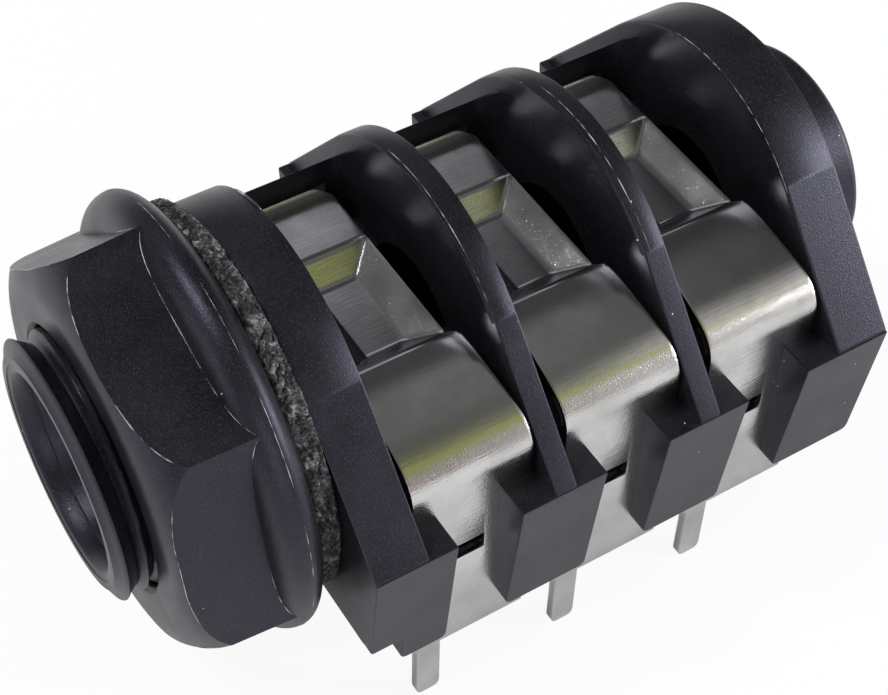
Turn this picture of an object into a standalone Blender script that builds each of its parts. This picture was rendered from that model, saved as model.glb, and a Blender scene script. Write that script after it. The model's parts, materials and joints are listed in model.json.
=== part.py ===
# Audio jack socket, 6.35 mm, three poles with a break contact for each pole.
# One moulded housing carries the threaded bush, the ribs and the feet.  Three spring contacts
# sit on its +X side and three break contacts on its -X side.  A fibre washer and a moulded
# nut clamp the panel.  +Y runs from the mouth to the rear, +Z is up and the pins point down.
# Places along Y are measured from the panel face, places along Z from the board.
import math

import bmesh
import bpy
from mathutils import Vector

MM = 0.001

# Main layout
BAY_PITCH = 6.9 * MM
BAY_COUNT = 3
AXIS_HEIGHT = 9.0 * MM
FRONT_FLANGE = 2.35 * MM
FIRST_RIB = 8.0 * MM
RIB_WIDTH = 1.0 * MM
REAR_FLANGE = 2.6 * MM
PART_CLEARANCE = 0.15 * MM
REAR_FLANGE_SETBACK = 0.1 * MM
SEAT_GAP = 0.1 * MM

# Arch and sides of the flanges and ribs
RIB_RADIUS = 8.0 * MM
FLANGE_RADIUS = 7.93 * MM
HALF_WIDTH = 10.76 * MM
SIDE_DRAFT = 0.74 * MM
SHOULDER_HEIGHT = 8.85 * MM
FOOT_BOTTOM = 1.65 * MM
FLANGE_BOTTOM = 3.4 * MM
WEB_BOTTOM = 1.95 * MM
RIM_BAND = 1.0 * MM
RIM_STEP = 0.2 * MM

# Feet, measured along Y from the rib or flange that carries them
FIRST_FOOT_FRONT = 1.45 * MM
FIRST_FOOT_REAR = 3.6 * MM
FOOT_AHEAD = 1.53 * MM
FAR_FOOT_AHEAD = 0.48 * MM
FOOT_BEHIND = 1.4 * MM
REAR_FOOT_AHEAD = 1.6 * MM
FAR_REAR_FOOT_AHEAD = 0.45 * MM
FOOT_CORNER = 0.4 * MM
FOOT_TUCK = 0.3 * MM
SHOULDER_INSET = 0.02 * MM
JOIN_OVERLAP = 0.2 * MM

# Inner body, bore, bush and rear boss
CORE_TOP = 10.9 * MM
CORE_EDGE = 0.8 * MM
FAR_SHELF_TOP = 9.3 * MM
BORE_WALL = 1.25 * MM
BORE_DIAMETER = 6.5 * MM
LEAD_IN_DIAMETER = 8.4 * MM
LEAD_IN_DEPTH = 2.4 * MM
BUSH_DIAMETER = 10.6 * MM
BUSH_LENGTH = 8.0 * MM
BUSH_NOSE = 0.75 * MM
BUSH_NOSE_DEPTH = 0.15 * MM
BUSH_RIM_DIAMETER = 11.0 * MM
BUSH_RIM_CHAMFER = 0.3 * MM
BUSH_RIM_WIDTH = 0.25 * MM
BOSS_DIAMETER = 10.3 * MM
BOSS_LENGTH = 3.0 * MM
BOSS_EDGE = 0.35 * MM
BOSS_END_WALL = 1.2 * MM

# Roof over the far half of each bay
ROOF_RADIUS = 7.25 * MM
ROOF_INNER_RADIUS = 6.45 * MM
ROOF_NEAR_FACE = 5.2 * MM
ROOF_OVER_SHELF = 0.9 * MM
ROOF_FILLET = 1.1 * MM
FILLET_SINK = 0.03 * MM

# Sheet metal of the contacts
SHEET = 0.4 * MM
CHEEK_WALL = 1.56 * MM
PIN_INSET = 0.22 * MM
PIN_WIDTH = 1.12 * MM
PIN_LENGTH = 3.4 * MM
PIN_TIP = 0.4 * MM
WINDOW_START = 1.85 * MM
WINDOW_LENGTH = 1.45 * MM
WINDOW_BOTTOM = 5.4 * MM
WINDOW_HEIGHT = 0.9 * MM

# Spring contact above the side plate
SPRING_BEND_HEIGHT = 10.15 * MM
SPRING_BEND_RADIUS = 1.6 * MM
SPRING_SLOPE = 18.0
SLOPE_RUN = 4.7 * MM
SLOPE_TAPER = 0.5 * MM
TONGUE_WIDTH = 4.2 * MM
TONGUE_OFFSET = 0.4 * MM
TONGUE_REACH = 4.95 * MM
TONGUE_CORNER = 0.75 * MM
TONGUE_LIFT = 0.16 * MM
POCKET_DEPTH = 0.7 * MM
POCKET_FLANK = 1.2 * MM
POCKET_NEAR_WALL = 0.9 * MM
POCKET_FLOOR = 3.9 * MM
POCKET_FAR_WALL = 1.2 * MM
POCKET_START = 0.2 * MM

# Break contact above the side plate
BREAK_BEND_HEIGHT = 8.9 * MM
BREAK_BEND_RADIUS = 1.1 * MM
BREAK_SHELF = 1.5 * MM
BREAK_WAIST = 0.5 * MM
BREAK_NECK = 0.2 * MM
BREAK_RISE_ANGLE = 45.0
BREAK_TIP_ANGLE = 12.0
BREAK_TIP_LENGTH = 1.15 * MM
BREAK_TIP_GAP = 0.15 * MM
BREAK_FINGER_WIDTH = 1.6 * MM

# Nut and washer
WASHER_DIAMETER = 16.2 * MM
WASHER_THICKNESS = 0.78 * MM
THREAD_ALLOWANCE = 0.3 * MM
NUT_ACROSS_FLATS = 16.0 * MM
NUT_LENGTH = 5.6 * MM
NUT_DRAFT = 0.6 * MM
NUT_NOSE_ROUND = 2.05 * MM
NUT_TURN = 42.0
COLLAR_DIAMETER = 18.7 * MM
COLLAR_HEIGHT = 1.35 * MM
COLLAR_FRONT_ROUND = 1.15 * MM
COLLAR_REAR_ROUND = 0.85 * MM

# Fineness of round shapes
TURN_STEPS = 48
ARCH_STEPS = 28
BEND_STEPS = 6
ROOF_STEPS = 6
BAND_STEPS = 20

BORE_RADIUS = BORE_DIAMETER / 2
BUSH_RADIUS = BUSH_DIAMETER / 2
REAR_FLANGE_START = FIRST_RIB + (BAY_COUNT - 1) * BAY_PITCH + REAR_FLANGE_SETBACK
BODY_LENGTH = REAR_FLANGE_START + REAR_FLANGE
PLATE_FACE = HALF_WIDTH - CHEEK_WALL
CREASE_OFFSET = PLATE_FACE - SLOPE_RUN
ROOF_EDGE_HEIGHT = BREAK_BEND_HEIGHT + BREAK_BEND_RADIUS + ROOF_OVER_SHELF
CORE_SIDE = PLATE_FACE - SHEET - PART_CLEARANCE
FOOT_INNER = PLATE_FACE + PART_CLEARANCE
PLATE_FRONT = FRONT_FLANGE + PART_CLEARANCE
PLATE_REAR = FIRST_RIB - PART_CLEARANCE
PIN_FIELD_CENTRE = PLATE_FRONT + PIN_INSET + PIN_WIDTH / 2 + (BAY_COUNT - 1) / 2 * BAY_PITCH
TONGUE_CENTRE = (PLATE_FRONT + PLATE_REAR) / 2 - TONGUE_OFFSET


def side_angle(radius):
    """Angle at which the straight side leaves an arch of this radius."""
    rise = SHOULDER_HEIGHT - AXIS_HEIGHT
    reach = math.hypot(HALF_WIDTH, rise)
    return math.degrees(math.atan2(rise, HALF_WIDTH) + math.acos(radius / reach))


WALL_ANGLE = 180 - side_angle(RIB_RADIUS)


def clear_scene():
    for thing in list(bpy.data.objects):
        bpy.data.objects.remove(thing, do_unlink=True)


def make_material(name, colour, roughness, metallic):
    material = bpy.data.materials.new(name)
    material.use_nodes = True
    shader = material.node_tree.nodes["Principled BSDF"]
    shader.inputs["Base Color"].default_value = (*colour, 1.0)
    shader.inputs["Roughness"].default_value = roughness
    shader.inputs["Metallic"].default_value = metallic
    return material


def add_object(name, mesh, parent, material=None):
    thing = bpy.data.objects.new(name, mesh)
    bpy.context.scene.collection.objects.link(thing)
    thing.parent = parent
    if material is not None:
        mesh.materials.append(material)
    return thing


def finish_mesh(form, name):
    bmesh.ops.recalc_face_normals(form, faces=form.faces)
    mesh = bpy.data.meshes.new(name)
    form.to_mesh(mesh)
    form.free()
    return mesh


def prism_mesh(name, outline, start, end):
    """Outline in X and Z, extruded along Y."""
    form = bmesh.new()
    face = form.faces.new([form.verts.new((x, start, z)) for x, z in outline])
    pushed = bmesh.ops.extrude_face_region(form, geom=[face])
    moved = [item for item in pushed["geom"] if isinstance(item, bmesh.types.BMVert)]
    bmesh.ops.translate(form, verts=moved, vec=(0.0, end - start, 0.0))
    return finish_mesh(form, name)


def turned_mesh(name, profile, steps=TURN_STEPS):
    """Profile of (radius, y) pairs, turned about the bore axis through the origin."""
    form = bmesh.new()
    ring = [form.verts.new((radius, y, 0.0)) for radius, y in profile]
    edges = [form.edges.new((ring[i], ring[(i + 1) % len(ring)])) for i in range(len(ring))]
    bmesh.ops.spin(
        form, geom=ring + edges, cent=(0, 0, 0), axis=(0, 1, 0),
        angle=math.tau, steps=steps, use_merge=True,
    )
    bmesh.ops.remove_doubles(form, verts=form.verts, dist=0.001 * MM)
    return finish_mesh(form, name)


def arc_points(centre, radius, start, end, steps):
    """Points on an arc in X and Z, angles in degrees from +X towards +Z."""
    turns = [math.radians(start + (end - start) * i / steps) for i in range(steps + 1)]
    return [(centre[0] + radius * math.cos(t), centre[1] + radius * math.sin(t)) for t in turns]


def round_corner(before, corner, after, radius, steps=4):
    """Points that replace a corner of an outline by an arc tangent to both sides."""
    back = (Vector(before) - Vector(corner)).normalized()
    ahead = (Vector(after) - Vector(corner)).normalized()
    half = back.angle(ahead) / 2
    start = Vector(corner) + back * radius / math.tan(half)
    centre = Vector(corner) + (back + ahead).normalized() * radius / math.sin(half)
    swept = Vector(corner) + ahead * radius / math.tan(half) - centre
    first = start - centre
    angle = first.angle_signed(swept)
    points = []
    for i in range(steps + 1):
        turn = -angle * i / steps
        spun = Vector((
            first.x * math.cos(turn) - first.y * math.sin(turn),
            first.x * math.sin(turn) + first.y * math.cos(turn),
        ))
        points.append(tuple(centre + spun))
    return points


def arch_outline(radius, bottom):
    """Round arch with straight sides that run down into the feet, and a flat bottom."""
    angle = side_angle(radius)
    arch = arc_points((0, AXIS_HEIGHT), radius, angle, 180 - angle, ARCH_STEPS)
    shoulder = (HALF_WIDTH - SHOULDER_INSET, SHOULDER_HEIGHT + SHOULDER_INSET)
    hidden = (HALF_WIDTH - 1.5 * FOOT_TUCK, SHOULDER_HEIGHT - 2 * FOOT_TUCK)
    foot = (FOOT_INNER + FOOT_TUCK, bottom)
    right = [foot, hidden, shoulder]
    left = [(-x, z) for x, z in reversed(right)]
    return right + arch + left


def cheek_mesh(name, outline, side):
    """Foot or cheek: outline in Y and Z, with an outer face that leans in towards the board."""
    lean = SIDE_DRAFT / (SHOULDER_HEIGHT - FOOT_BOTTOM)
    form = bmesh.new()
    inner = [form.verts.new((side * FOOT_INNER, y, z)) for y, z in outline]
    outer = [
        form.verts.new((side * (HALF_WIDTH - lean * (SHOULDER_HEIGHT - z)), y, z))
        for y, z in outline
    ]
    form.faces.new(inner)
    form.faces.new(list(reversed(outer)))
    for i in range(len(outline)):
        j = (i + 1) % len(outline)
        form.faces.new((inner[j], inner[i], outer[i], outer[j]))
    return finish_mesh(form, name)


def foot_outline(front, rear):
    top = SHOULDER_HEIGHT
    low_front = round_corner((front, top), (front, FOOT_BOTTOM), (rear, FOOT_BOTTOM), FOOT_CORNER)
    low_rear = round_corner((front, FOOT_BOTTOM), (rear, FOOT_BOTTOM), (rear, top), FOOT_CORNER)
    return [(front, top)] + low_front + low_rear + [(rear, top)]


def front_cheek_outline():
    """The front flange's side and the first foot, which hangs lower behind it."""
    top = SHOULDER_HEIGHT
    front, rear = FIRST_FOOT_FRONT, FIRST_FOOT_REAR
    nose = round_corner((0, top), (0, FLANGE_BOTTOM), (front, FLANGE_BOTTOM), FOOT_CORNER / 2)
    low_front = round_corner(
        (front, FLANGE_BOTTOM), (front, FOOT_BOTTOM), (rear, FOOT_BOTTOM), FOOT_CORNER
    )
    low_rear = round_corner((front, FOOT_BOTTOM), (rear, FOOT_BOTTOM), (rear, top), FOOT_CORNER)
    return [(0, top)] + nose + [(front, FLANGE_BOTTOM)] + low_front + low_rear + [(rear, top)]


def roof_flank(radius, height):
    """Place across, at a height, on the roof's straight flank that leaves an arc of this radius."""
    turn = math.radians(WALL_ANGLE)
    return (radius - (height - AXIS_HEIGHT) * math.sin(turn)) / math.cos(turn)


def roof_crown(radius, near):
    """Upright near face's top, the arc that starts there, and the flank down to the roof's edge."""
    start = math.degrees(math.acos(-near / radius))
    turn = math.radians(WALL_ANGLE)
    if start < WALL_ANGLE:
        top = arc_points((0, AXIS_HEIGHT), radius, start, WALL_ANGLE, ROOF_STEPS)
    else:
        top = [(-near, AXIS_HEIGHT + (radius + near * math.cos(turn)) / math.sin(turn))]
    return top + [(roof_flank(radius, ROOF_EDGE_HEIGHT), ROOF_EDGE_HEIGHT)]


def roof_outline():
    """Section of the roof, hollow underneath."""
    turn = math.radians(WALL_ANGLE)
    rise = (ROOF_INNER_RADIUS + ROOF_NEAR_FACE * math.cos(turn)) / math.sin(turn)
    inner = [
        (roof_flank(ROOF_INNER_RADIUS, ROOF_EDGE_HEIGHT), ROOF_EDGE_HEIGHT),
        (-ROOF_NEAR_FACE, AXIS_HEIGHT + rise),
    ]
    return roof_crown(ROOF_RADIUS, ROOF_NEAR_FACE) + inner


def band_outline():
    """Raised band along the front of each rib's rim."""
    start = 180 - WALL_ANGLE
    axis = (0, AXIS_HEIGHT)
    outer = arc_points(axis, RIB_RADIUS - RIM_STEP / 4, start, WALL_ANGLE, BAND_STEPS)
    inner = arc_points(axis, RIB_RADIUS - RIM_BAND, start, WALL_ANGLE, BAND_STEPS)
    return outer + list(reversed(inner))


def core_outline():
    """Inner body under the contacts, with a lower shelf on the far side."""
    wall = BORE_RADIUS + BORE_WALL
    return [
        (-CORE_SIDE, 0),
        (CORE_SIDE, 0),
        (CORE_SIDE, CORE_TOP - CORE_EDGE),
        (CORE_SIDE - CORE_EDGE, CORE_TOP),
        (-wall, CORE_TOP),
        (-wall, FAR_SHELF_TOP),
        (CORE_EDGE - CORE_SIDE, FAR_SHELF_TOP),
        (-CORE_SIDE, FAR_SHELF_TOP - CORE_EDGE),
    ]


def fillet_mesh(name, wall):
    """Fillet in plan between the roof's near face and the wall behind it."""
    form = bmesh.new()
    loops = []
    for i in range(ROOF_STEPS + 1):
        turn = math.radians(90 * i / ROOF_STEPS)
        y = wall - ROOF_FILLET * (1 - math.sin(turn))
        near = ROOF_NEAR_FACE - FILLET_SINK - ROOF_FILLET * (1 - math.cos(turn))
        section = roof_crown(ROOF_RADIUS - FILLET_SINK, near) + [(-near, ROOF_EDGE_HEIGHT)]
        loops.append([form.verts.new((x, y, z)) for x, z in section])
    for low, high in zip(loops, loops[1:]):
        for i in range(len(low)):
            j = (i + 1) % len(low)
            form.faces.new((low[i], low[j], high[j], high[i]))
    form.faces.new(loops[0])
    form.faces.new(loops[-1])
    return finish_mesh(form, name)


class Joiner:
    """Keeps the forms that one moulding is joined from, and those cut out of it."""

    def __init__(self, target):
        self.target = target

    def use(self, mesh, operation, location=(0, 0, 0)):
        guide = add_object(mesh.name, mesh, self.target.parent)
        guide.location = location
        guide.hide_render = True
        guide.display_type = "WIRE"
        step = self.target.modifiers.new(mesh.name, "BOOLEAN")
        step.operation = operation
        step.solver = "EXACT"
        step.object = guide
        return guide


def build_housing(jack, plastic):
    overlap = JOIN_OVERLAP
    core = prism_mesh("housing", core_outline(), FRONT_FLANGE - overlap, BODY_LENGTH - overlap)
    housing = add_object("housing", core, jack, plastic)
    joined = Joiner(housing)

    flange = arch_outline(FLANGE_RADIUS, FLANGE_BOTTOM)
    joined.use(prism_mesh("front_flange", flange, 0, FRONT_FLANGE), "UNION")
    web_side = FOOT_INNER + overlap
    web_top = FLANGE_BOTTOM + overlap
    web = [(-web_side, WEB_BOTTOM), (web_side, WEB_BOTTOM), (web_side, web_top), (-web_side, web_top)]
    joined.use(prism_mesh("front_web", web, FIRST_FOOT_FRONT, FRONT_FLANGE), "UNION")
    for k in range(1, BAY_COUNT):
        front = FIRST_RIB + (k - 1) * BAY_PITCH
        rib = prism_mesh(f"rib_{k}", arch_outline(RIB_RADIUS, WEB_BOTTOM), front, front + RIB_WIDTH)
        joined.use(rib, "UNION")
        band = prism_mesh(f"rim_band_{k}", band_outline(), front - RIM_STEP, front + overlap)
        joined.use(band, "UNION")
    flange = arch_outline(FLANGE_RADIUS, WEB_BOTTOM)
    joined.use(prism_mesh("rear_flange", flange, REAR_FLANGE_START, BODY_LENGTH), "UNION")

    sides = (
        (1, "near", FOOT_AHEAD, REAR_FOOT_AHEAD),
        (-1, "far", FAR_FOOT_AHEAD, FAR_REAR_FOOT_AHEAD),
    )
    for side, label, ahead, rear_ahead in sides:
        joined.use(cheek_mesh(f"front_cheek_{label}", front_cheek_outline(), side), "UNION")
        for k in range(1, BAY_COUNT):
            front = FIRST_RIB + (k - 1) * BAY_PITCH
            outline = foot_outline(front - ahead, front + RIB_WIDTH + FOOT_BEHIND)
            joined.use(cheek_mesh(f"foot_{k}_{label}", outline, side), "UNION")
        outline = foot_outline(REAR_FLANGE_START - rear_ahead, BODY_LENGTH)
        joined.use(cheek_mesh(f"rear_cheek_{label}", outline, side), "UNION")

    roof_start, roof_end = FRONT_FLANGE - overlap, REAR_FLANGE_START + overlap
    joined.use(prism_mesh("roof", roof_outline(), roof_start, roof_end), "UNION")
    for k in range(BAY_COUNT):
        wall = REAR_FLANGE_START if k == BAY_COUNT - 1 else FIRST_RIB + k * BAY_PITCH
        joined.use(fillet_mesh(f"roof_fillet_{k + 1}", wall + FILLET_SINK), "UNION")

    rim = BUSH_NOSE_DEPTH + BUSH_RIM_CHAMFER - BUSH_LENGTH
    bush_profile = [
        (0, -BUSH_LENGTH),
        (LEAD_IN_DIAMETER / 2, -BUSH_LENGTH),
        (LEAD_IN_DIAMETER / 2 + BUSH_NOSE, BUSH_NOSE_DEPTH - BUSH_LENGTH),
        (BUSH_RIM_DIAMETER / 2, rim),
        (BUSH_RIM_DIAMETER / 2, rim + BUSH_RIM_WIDTH),
        (BUSH_RADIUS, rim + BUSH_RIM_WIDTH + BUSH_RIM_DIAMETER / 2 - BUSH_RADIUS),
        (BUSH_RADIUS, overlap),
        (0, overlap),
    ]
    axis = (0, 0, AXIS_HEIGHT)
    joined.use(turned_mesh("bush", bush_profile), "UNION", axis)
    boss_radius = BOSS_DIAMETER / 2
    boss_end = BODY_LENGTH + BOSS_LENGTH
    boss_profile = [
        (0, BODY_LENGTH - overlap),
        (boss_radius, BODY_LENGTH - overlap),
        (boss_radius, boss_end - BOSS_EDGE),
        (boss_radius - BOSS_EDGE / 3, boss_end - BOSS_EDGE / 3),
        (boss_radius - BOSS_EDGE, boss_end),
        (0, boss_end),
    ]
    joined.use(turned_mesh("rear_boss", boss_profile), "UNION", axis)

    mouth = BUSH_LENGTH + overlap
    lead_slope = (LEAD_IN_DIAMETER / 2 - BORE_RADIUS) / LEAD_IN_DEPTH
    bore_profile = [
        (0, -mouth),
        (LEAD_IN_DIAMETER / 2 + lead_slope * overlap, -mouth),
        (BORE_RADIUS, LEAD_IN_DEPTH - BUSH_LENGTH),
        (BORE_RADIUS, boss_end - BOSS_END_WALL),
        (0, boss_end - BOSS_END_WALL),
    ]
    joined.use(turned_mesh("bore", bore_profile), "DIFFERENCE", axis)
    return housing


def heading(degrees):
    """Unit step in X and Z, at an angle from +X towards +Z."""
    return Vector((math.cos(math.radians(degrees)), math.sin(math.radians(degrees))))


def bend_points(radius, degrees):
    """Bend of the sheet, from upright at the plate's origin; positive degrees turn towards -X."""
    side = math.copysign(1, degrees)
    centre = Vector((-side * radius, 0))
    turns = [degrees * i / BEND_STEPS for i in range(1, BEND_STEPS + 1)]
    return [centre + heading(turn) * radius * side for turn in turns]


def sheet_mesh(name, stations, holes):
    """Sheet from stations of (point in X and Z, list of (y, sink)); holes are cells left out.

    The sink moves a point down, which presses a pocket into the sheet.
    """
    form = bmesh.new()
    rows = []
    for (x, z), columns in stations:
        rows.append([form.verts.new((x, y, z - sink)) for y, sink in columns])
    for i in range(len(rows) - 1):
        for j in range(len(rows[0]) - 1):
            if (i, j) in holes:
                continue
            a, b, c, d = rows[i][j], rows[i][j + 1], rows[i + 1][j + 1], rows[i + 1][j]
            sunk = [stations[i][1][j][1], stations[i][1][j + 1][1],
                    stations[i + 1][1][j + 1][1], stations[i + 1][1][j][1]]
            if sunk.count(0) == 3 and (sunk[1] or sunk[3]):
                form.faces.new((a, b, d))
                form.faces.new((b, c, d))
            elif sunk.count(0) == 3:
                form.faces.new((a, b, c))
                form.faces.new((a, c, d))
            else:
                form.faces.new((a, b, c, d))
    loose = [vert for vert in form.verts if not vert.link_faces]
    bmesh.ops.delete(form, geom=loose, context="VERTS")
    mesh = bpy.data.meshes.new(name)
    form.to_mesh(mesh)
    form.free()
    return mesh


def level(columns):
    return [(y, 0.0) for y in columns]


def plate_stations(side, bend_height):
    """Pin and side plate, from the pin's tip up to the bend, with the cells of the window."""
    x = side * PLATE_FACE
    pin = PLATE_FRONT + PIN_INSET
    window = PLATE_FRONT + WINDOW_START
    columns = [PLATE_FRONT, pin, pin + PIN_WIDTH, window, window + WINDOW_LENGTH, PLATE_REAR]

    def end_row(inset):
        return columns[:1] + [pin + inset, pin + PIN_WIDTH - inset] + columns[3:]

    heights = [
        (-PIN_LENGTH, end_row(PIN_TIP * 0.75)),
        (-PIN_LENGTH + PIN_TIP * 0.12, end_row(PIN_TIP * 0.35)),
        (-PIN_LENGTH + PIN_TIP * 0.45, end_row(PIN_TIP * 0.1)),
        (-PIN_LENGTH + PIN_TIP, columns),
        (0, columns),
        (WINDOW_BOTTOM, columns),
        (WINDOW_BOTTOM + WINDOW_HEIGHT, columns),
        (bend_height, columns),
    ]
    stations = [((x, z), level(row)) for z, row in heights]
    last = len(columns) - 2
    holes = {(i, j) for i in range(4) for j in range(last + 1) if j != 1}
    holes.add((5, last - 1))
    return stations, holes, columns


def pressed_columns(sunk):
    floor = TONGUE_WIDTH / 2 - POCKET_FLANK
    depth = POCKET_DEPTH if sunk else 0.0
    half = TONGUE_WIDTH / 2
    places = (-half, -floor, -floor / 3, floor / 3, floor, half)
    sinks = (0.0, depth, depth, depth, depth, 0.0)
    return [(TONGUE_CENTRE + offset, sink) for offset, sink in zip(places, sinks)]


def narrowed(columns, share):
    """Columns pulled towards the tongue's middle line, for a rounded end."""
    return [(TONGUE_CENTRE + (y - TONGUE_CENTRE) * share, sink) for y, sink in columns]


def spring_contact_mesh(name):
    """Pin, side plate, bend, sloped plate and the tongue with its pressed pocket."""
    stations, holes, columns = plate_stations(1, SPRING_BEND_HEIGHT)
    turn = 90 - SPRING_SLOPE
    foot = Vector((PLATE_FACE, SPRING_BEND_HEIGHT))
    bend = [foot + step for step in bend_points(SPRING_BEND_RADIUS, turn)]
    stations += [(tuple(point), level(columns)) for point in bend]
    last = bend[-1]
    rise = math.tan(math.radians(SPRING_SLOPE))
    crease = (CREASE_OFFSET, last.y + (last.x - CREASE_OFFSET) * rise)
    tapered = columns[:-1] + [columns[-1] - SLOPE_TAPER]
    stations.append((crease, level(tapered)))
    tongue = crease[1]
    neck = CREASE_OFFSET - POCKET_START
    stations.append(((neck, tongue), pressed_columns(False)))
    near = neck - POCKET_NEAR_WALL
    stations.append(((near, tongue), pressed_columns(True)))
    far = near - POCKET_FLOOR
    stations.append(((far, tongue), pressed_columns(True)))
    stations.append(((far - POCKET_FAR_WALL, tongue), pressed_columns(False)))
    flat = pressed_columns(False)
    stations.append(((TONGUE_CORNER - TONGUE_REACH, tongue), flat))
    for along, cut, lift in ((0.3, 1, 0.6), (0, 2, 1)):
        place = (along * TONGUE_CORNER - TONGUE_REACH, tongue + lift * TONGUE_LIFT)
        stations.append((place, narrowed(flat, 1 - cut * TONGUE_CORNER / TONGUE_WIDTH)))
    return sheet_mesh(name, stations, holes), tongue


def break_contact_mesh(name, tongue):
    """Pin, side plate and the finger that rises to the underside of the tongue."""
    stations, holes, columns = plate_stations(-1, BREAK_BEND_HEIGHT)
    tip_height = tongue - SHEET - BREAK_TIP_GAP
    tip_rise = BREAK_TIP_LENGTH * math.sin(math.radians(BREAK_TIP_ANGLE))
    shelf = BREAK_BEND_HEIGHT + BREAK_BEND_RADIUS
    climb = (tip_height - tip_rise - shelf) / math.sin(math.radians(BREAK_RISE_ANGLE))
    foot = Vector((-PLATE_FACE, BREAK_BEND_HEIGHT))
    bend = [foot + step for step in bend_points(BREAK_BEND_RADIUS, -90)]
    stations += [(tuple(point), level(columns)) for point in bend]
    half = BREAK_FINGER_WIDTH / 2
    finger = [TONGUE_CENTRE + half * share for share in (-1, -0.6, -0.2, 0.2, 0.6, 1)]
    shelf_end = bend[-1] + Vector((BREAK_SHELF, 0))
    knee = shelf_end + heading(BREAK_RISE_ANGLE) * climb
    tip = knee + heading(BREAK_TIP_ANGLE) * BREAK_TIP_LENGTH
    waist = bend[-1] + Vector((BREAK_WAIST, 0))
    stations.append((tuple(waist), level(columns)))
    stations.append((tuple(waist + Vector((BREAK_NECK, 0))), level(finger)))
    for point in (shelf_end, knee, tip):
        stations.append((tuple(point), level(finger)))
    return sheet_mesh(name, stations, holes)


def add_contact(name, mesh, bay, jack, metal, offset):
    contact = add_object(name, mesh, jack, metal)
    contact.location = (0, bay * BAY_PITCH, 0)
    thick = contact.modifiers.new("sheet", "SOLIDIFY")
    thick.thickness = SHEET
    thick.offset = offset
    thick.use_even_offset = True
    mesh.shade_smooth()
    mesh.set_sharp_from_angle(angle=math.radians(30))
    return contact


def hexagon_mesh(name, across, draft, start, end):
    """Hexagonal bar along Y, narrower at its front by the draft."""
    form = bmesh.new()
    loops = []
    for y, size in ((start, across - draft), (end, across)):
        reach = size / 2 / math.cos(math.radians(30))
        turns = [math.radians(NUT_TURN + 60 * i) for i in range(6)]
        loops.append([form.verts.new((reach * math.cos(t), y, reach * math.sin(t))) for t in turns])
    for i in range(6):
        j = (i + 1) % 6
        form.faces.new((loops[0][i], loops[0][j], loops[1][j], loops[1][i]))
    form.faces.new(loops[0])
    form.faces.new(loops[1])
    return finish_mesh(form, name)


def build_nut(jack, plastic):
    """Hexagon with a turned chamfer, and a round collar that seats on the washer."""
    rear = -2 * SEAT_GAP - WASHER_THICKNESS
    front = rear - NUT_LENGTH
    hole = BUSH_RADIUS + THREAD_ALLOWANCE
    spine = COLLAR_DIAMETER / 2 - COLLAR_HEIGHT
    middle = rear - COLLAR_REAR_ROUND
    dome = []
    for a in range(90, -91, -15):
        reach = COLLAR_REAR_ROUND if a > 0 else COLLAR_FRONT_ROUND
        turn = math.radians(a)
        dome.append((spine + COLLAR_HEIGHT * math.cos(turn), middle + reach * math.sin(turn)))
    collar = [(0, rear)] + dome + [(0, middle - COLLAR_FRONT_ROUND)]
    nut = add_object("panel_nut", turned_mesh("panel_nut", collar), jack, plastic)
    nut.location = (0, 0, AXIS_HEIGHT)
    joined = Joiner(nut)

    corner = NUT_ACROSS_FLATS / 2 / math.cos(math.radians(30))
    nose = [
        (
            corner - NUT_NOSE_ROUND * (1 - math.sin(math.radians(a))),
            front + NUT_NOSE_ROUND * (1 - math.cos(math.radians(a))),
        )
        for a in range(0, 91, 15)
    ]
    blank = [(0, front)] + nose + [(corner, middle), (0, middle)]
    through = NUT_LENGTH / 4
    bar = hexagon_mesh("nut_hexagon", NUT_ACROSS_FLATS, NUT_DRAFT, front - through, middle + SEAT_GAP)
    hexagon = joined.use(bar, "UNION", nut.location)
    Joiner(hexagon).use(turned_mesh("nut_chamfer", blank), "INTERSECT", nut.location)
    bore = [(0, front - through), (hole, front - through), (hole, rear + through), (0, rear + through)]
    joined.use(turned_mesh("nut_bore", bore), "DIFFERENCE", nut.location)
    return nut


def build_washer(jack, fibre):
    hole = BUSH_RADIUS + THREAD_ALLOWANCE
    outer = WASHER_DIAMETER / 2
    front = -SEAT_GAP - WASHER_THICKNESS
    profile = [(hole, front), (outer, front), (outer, -SEAT_GAP), (hole, -SEAT_GAP)]
    washer = add_object("panel_washer", turned_mesh("panel_washer", profile), jack, fibre)
    washer.location = (0, 0, AXIS_HEIGHT)
    washer.data.shade_smooth()
    washer.data.set_sharp_from_angle(angle=math.radians(30))
    return washer


def main():
    clear_scene()
    jack = bpy.data.objects.new("jack", None)
    bpy.context.scene.collection.objects.link(jack)
    jack.location = (0, -PIN_FIELD_CENTRE, 0)

    plastic = make_material("black_nylon", (0.012, 0.012, 0.014), 0.42, 0.0)
    fibre = make_material("grey_fibre", (0.09, 0.085, 0.075), 0.9, 0.0)
    metal = make_material("nickel_plate", (0.6, 0.59, 0.56), 0.22, 1.0)

    build_housing(jack, plastic)
    build_nut(jack, plastic)
    build_washer(jack, fibre)
    for bay, pole in enumerate(("sleeve", "ring", "tip")):
        spring, tongue = spring_contact_mesh(f"{pole}_spring_contact")
        add_contact(f"{pole}_spring_contact", spring, bay, jack, metal, -1.0)
        finger = break_contact_mesh(f"{pole}_break_contact", tongue)
        add_contact(f"{pole}_break_contact", finger, bay, jack, metal, 1.0)


main()
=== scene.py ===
"""Visual model of a three-pole jack socket for panel and board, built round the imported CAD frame.

Everything is in metres and in the frame of the CAD part: -Y leaves the mouth, +Z leaves the board.
Meshes are made with Y measured from the panel face, then moved by Layout.panel_y.
"""

import json
import logging
import math
import random
from dataclasses import dataclass, field
from enum import Enum
from typing import Callable, Sequence

import bmesh
import bpy
from mathutils import Matrix, Vector, noise

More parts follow.
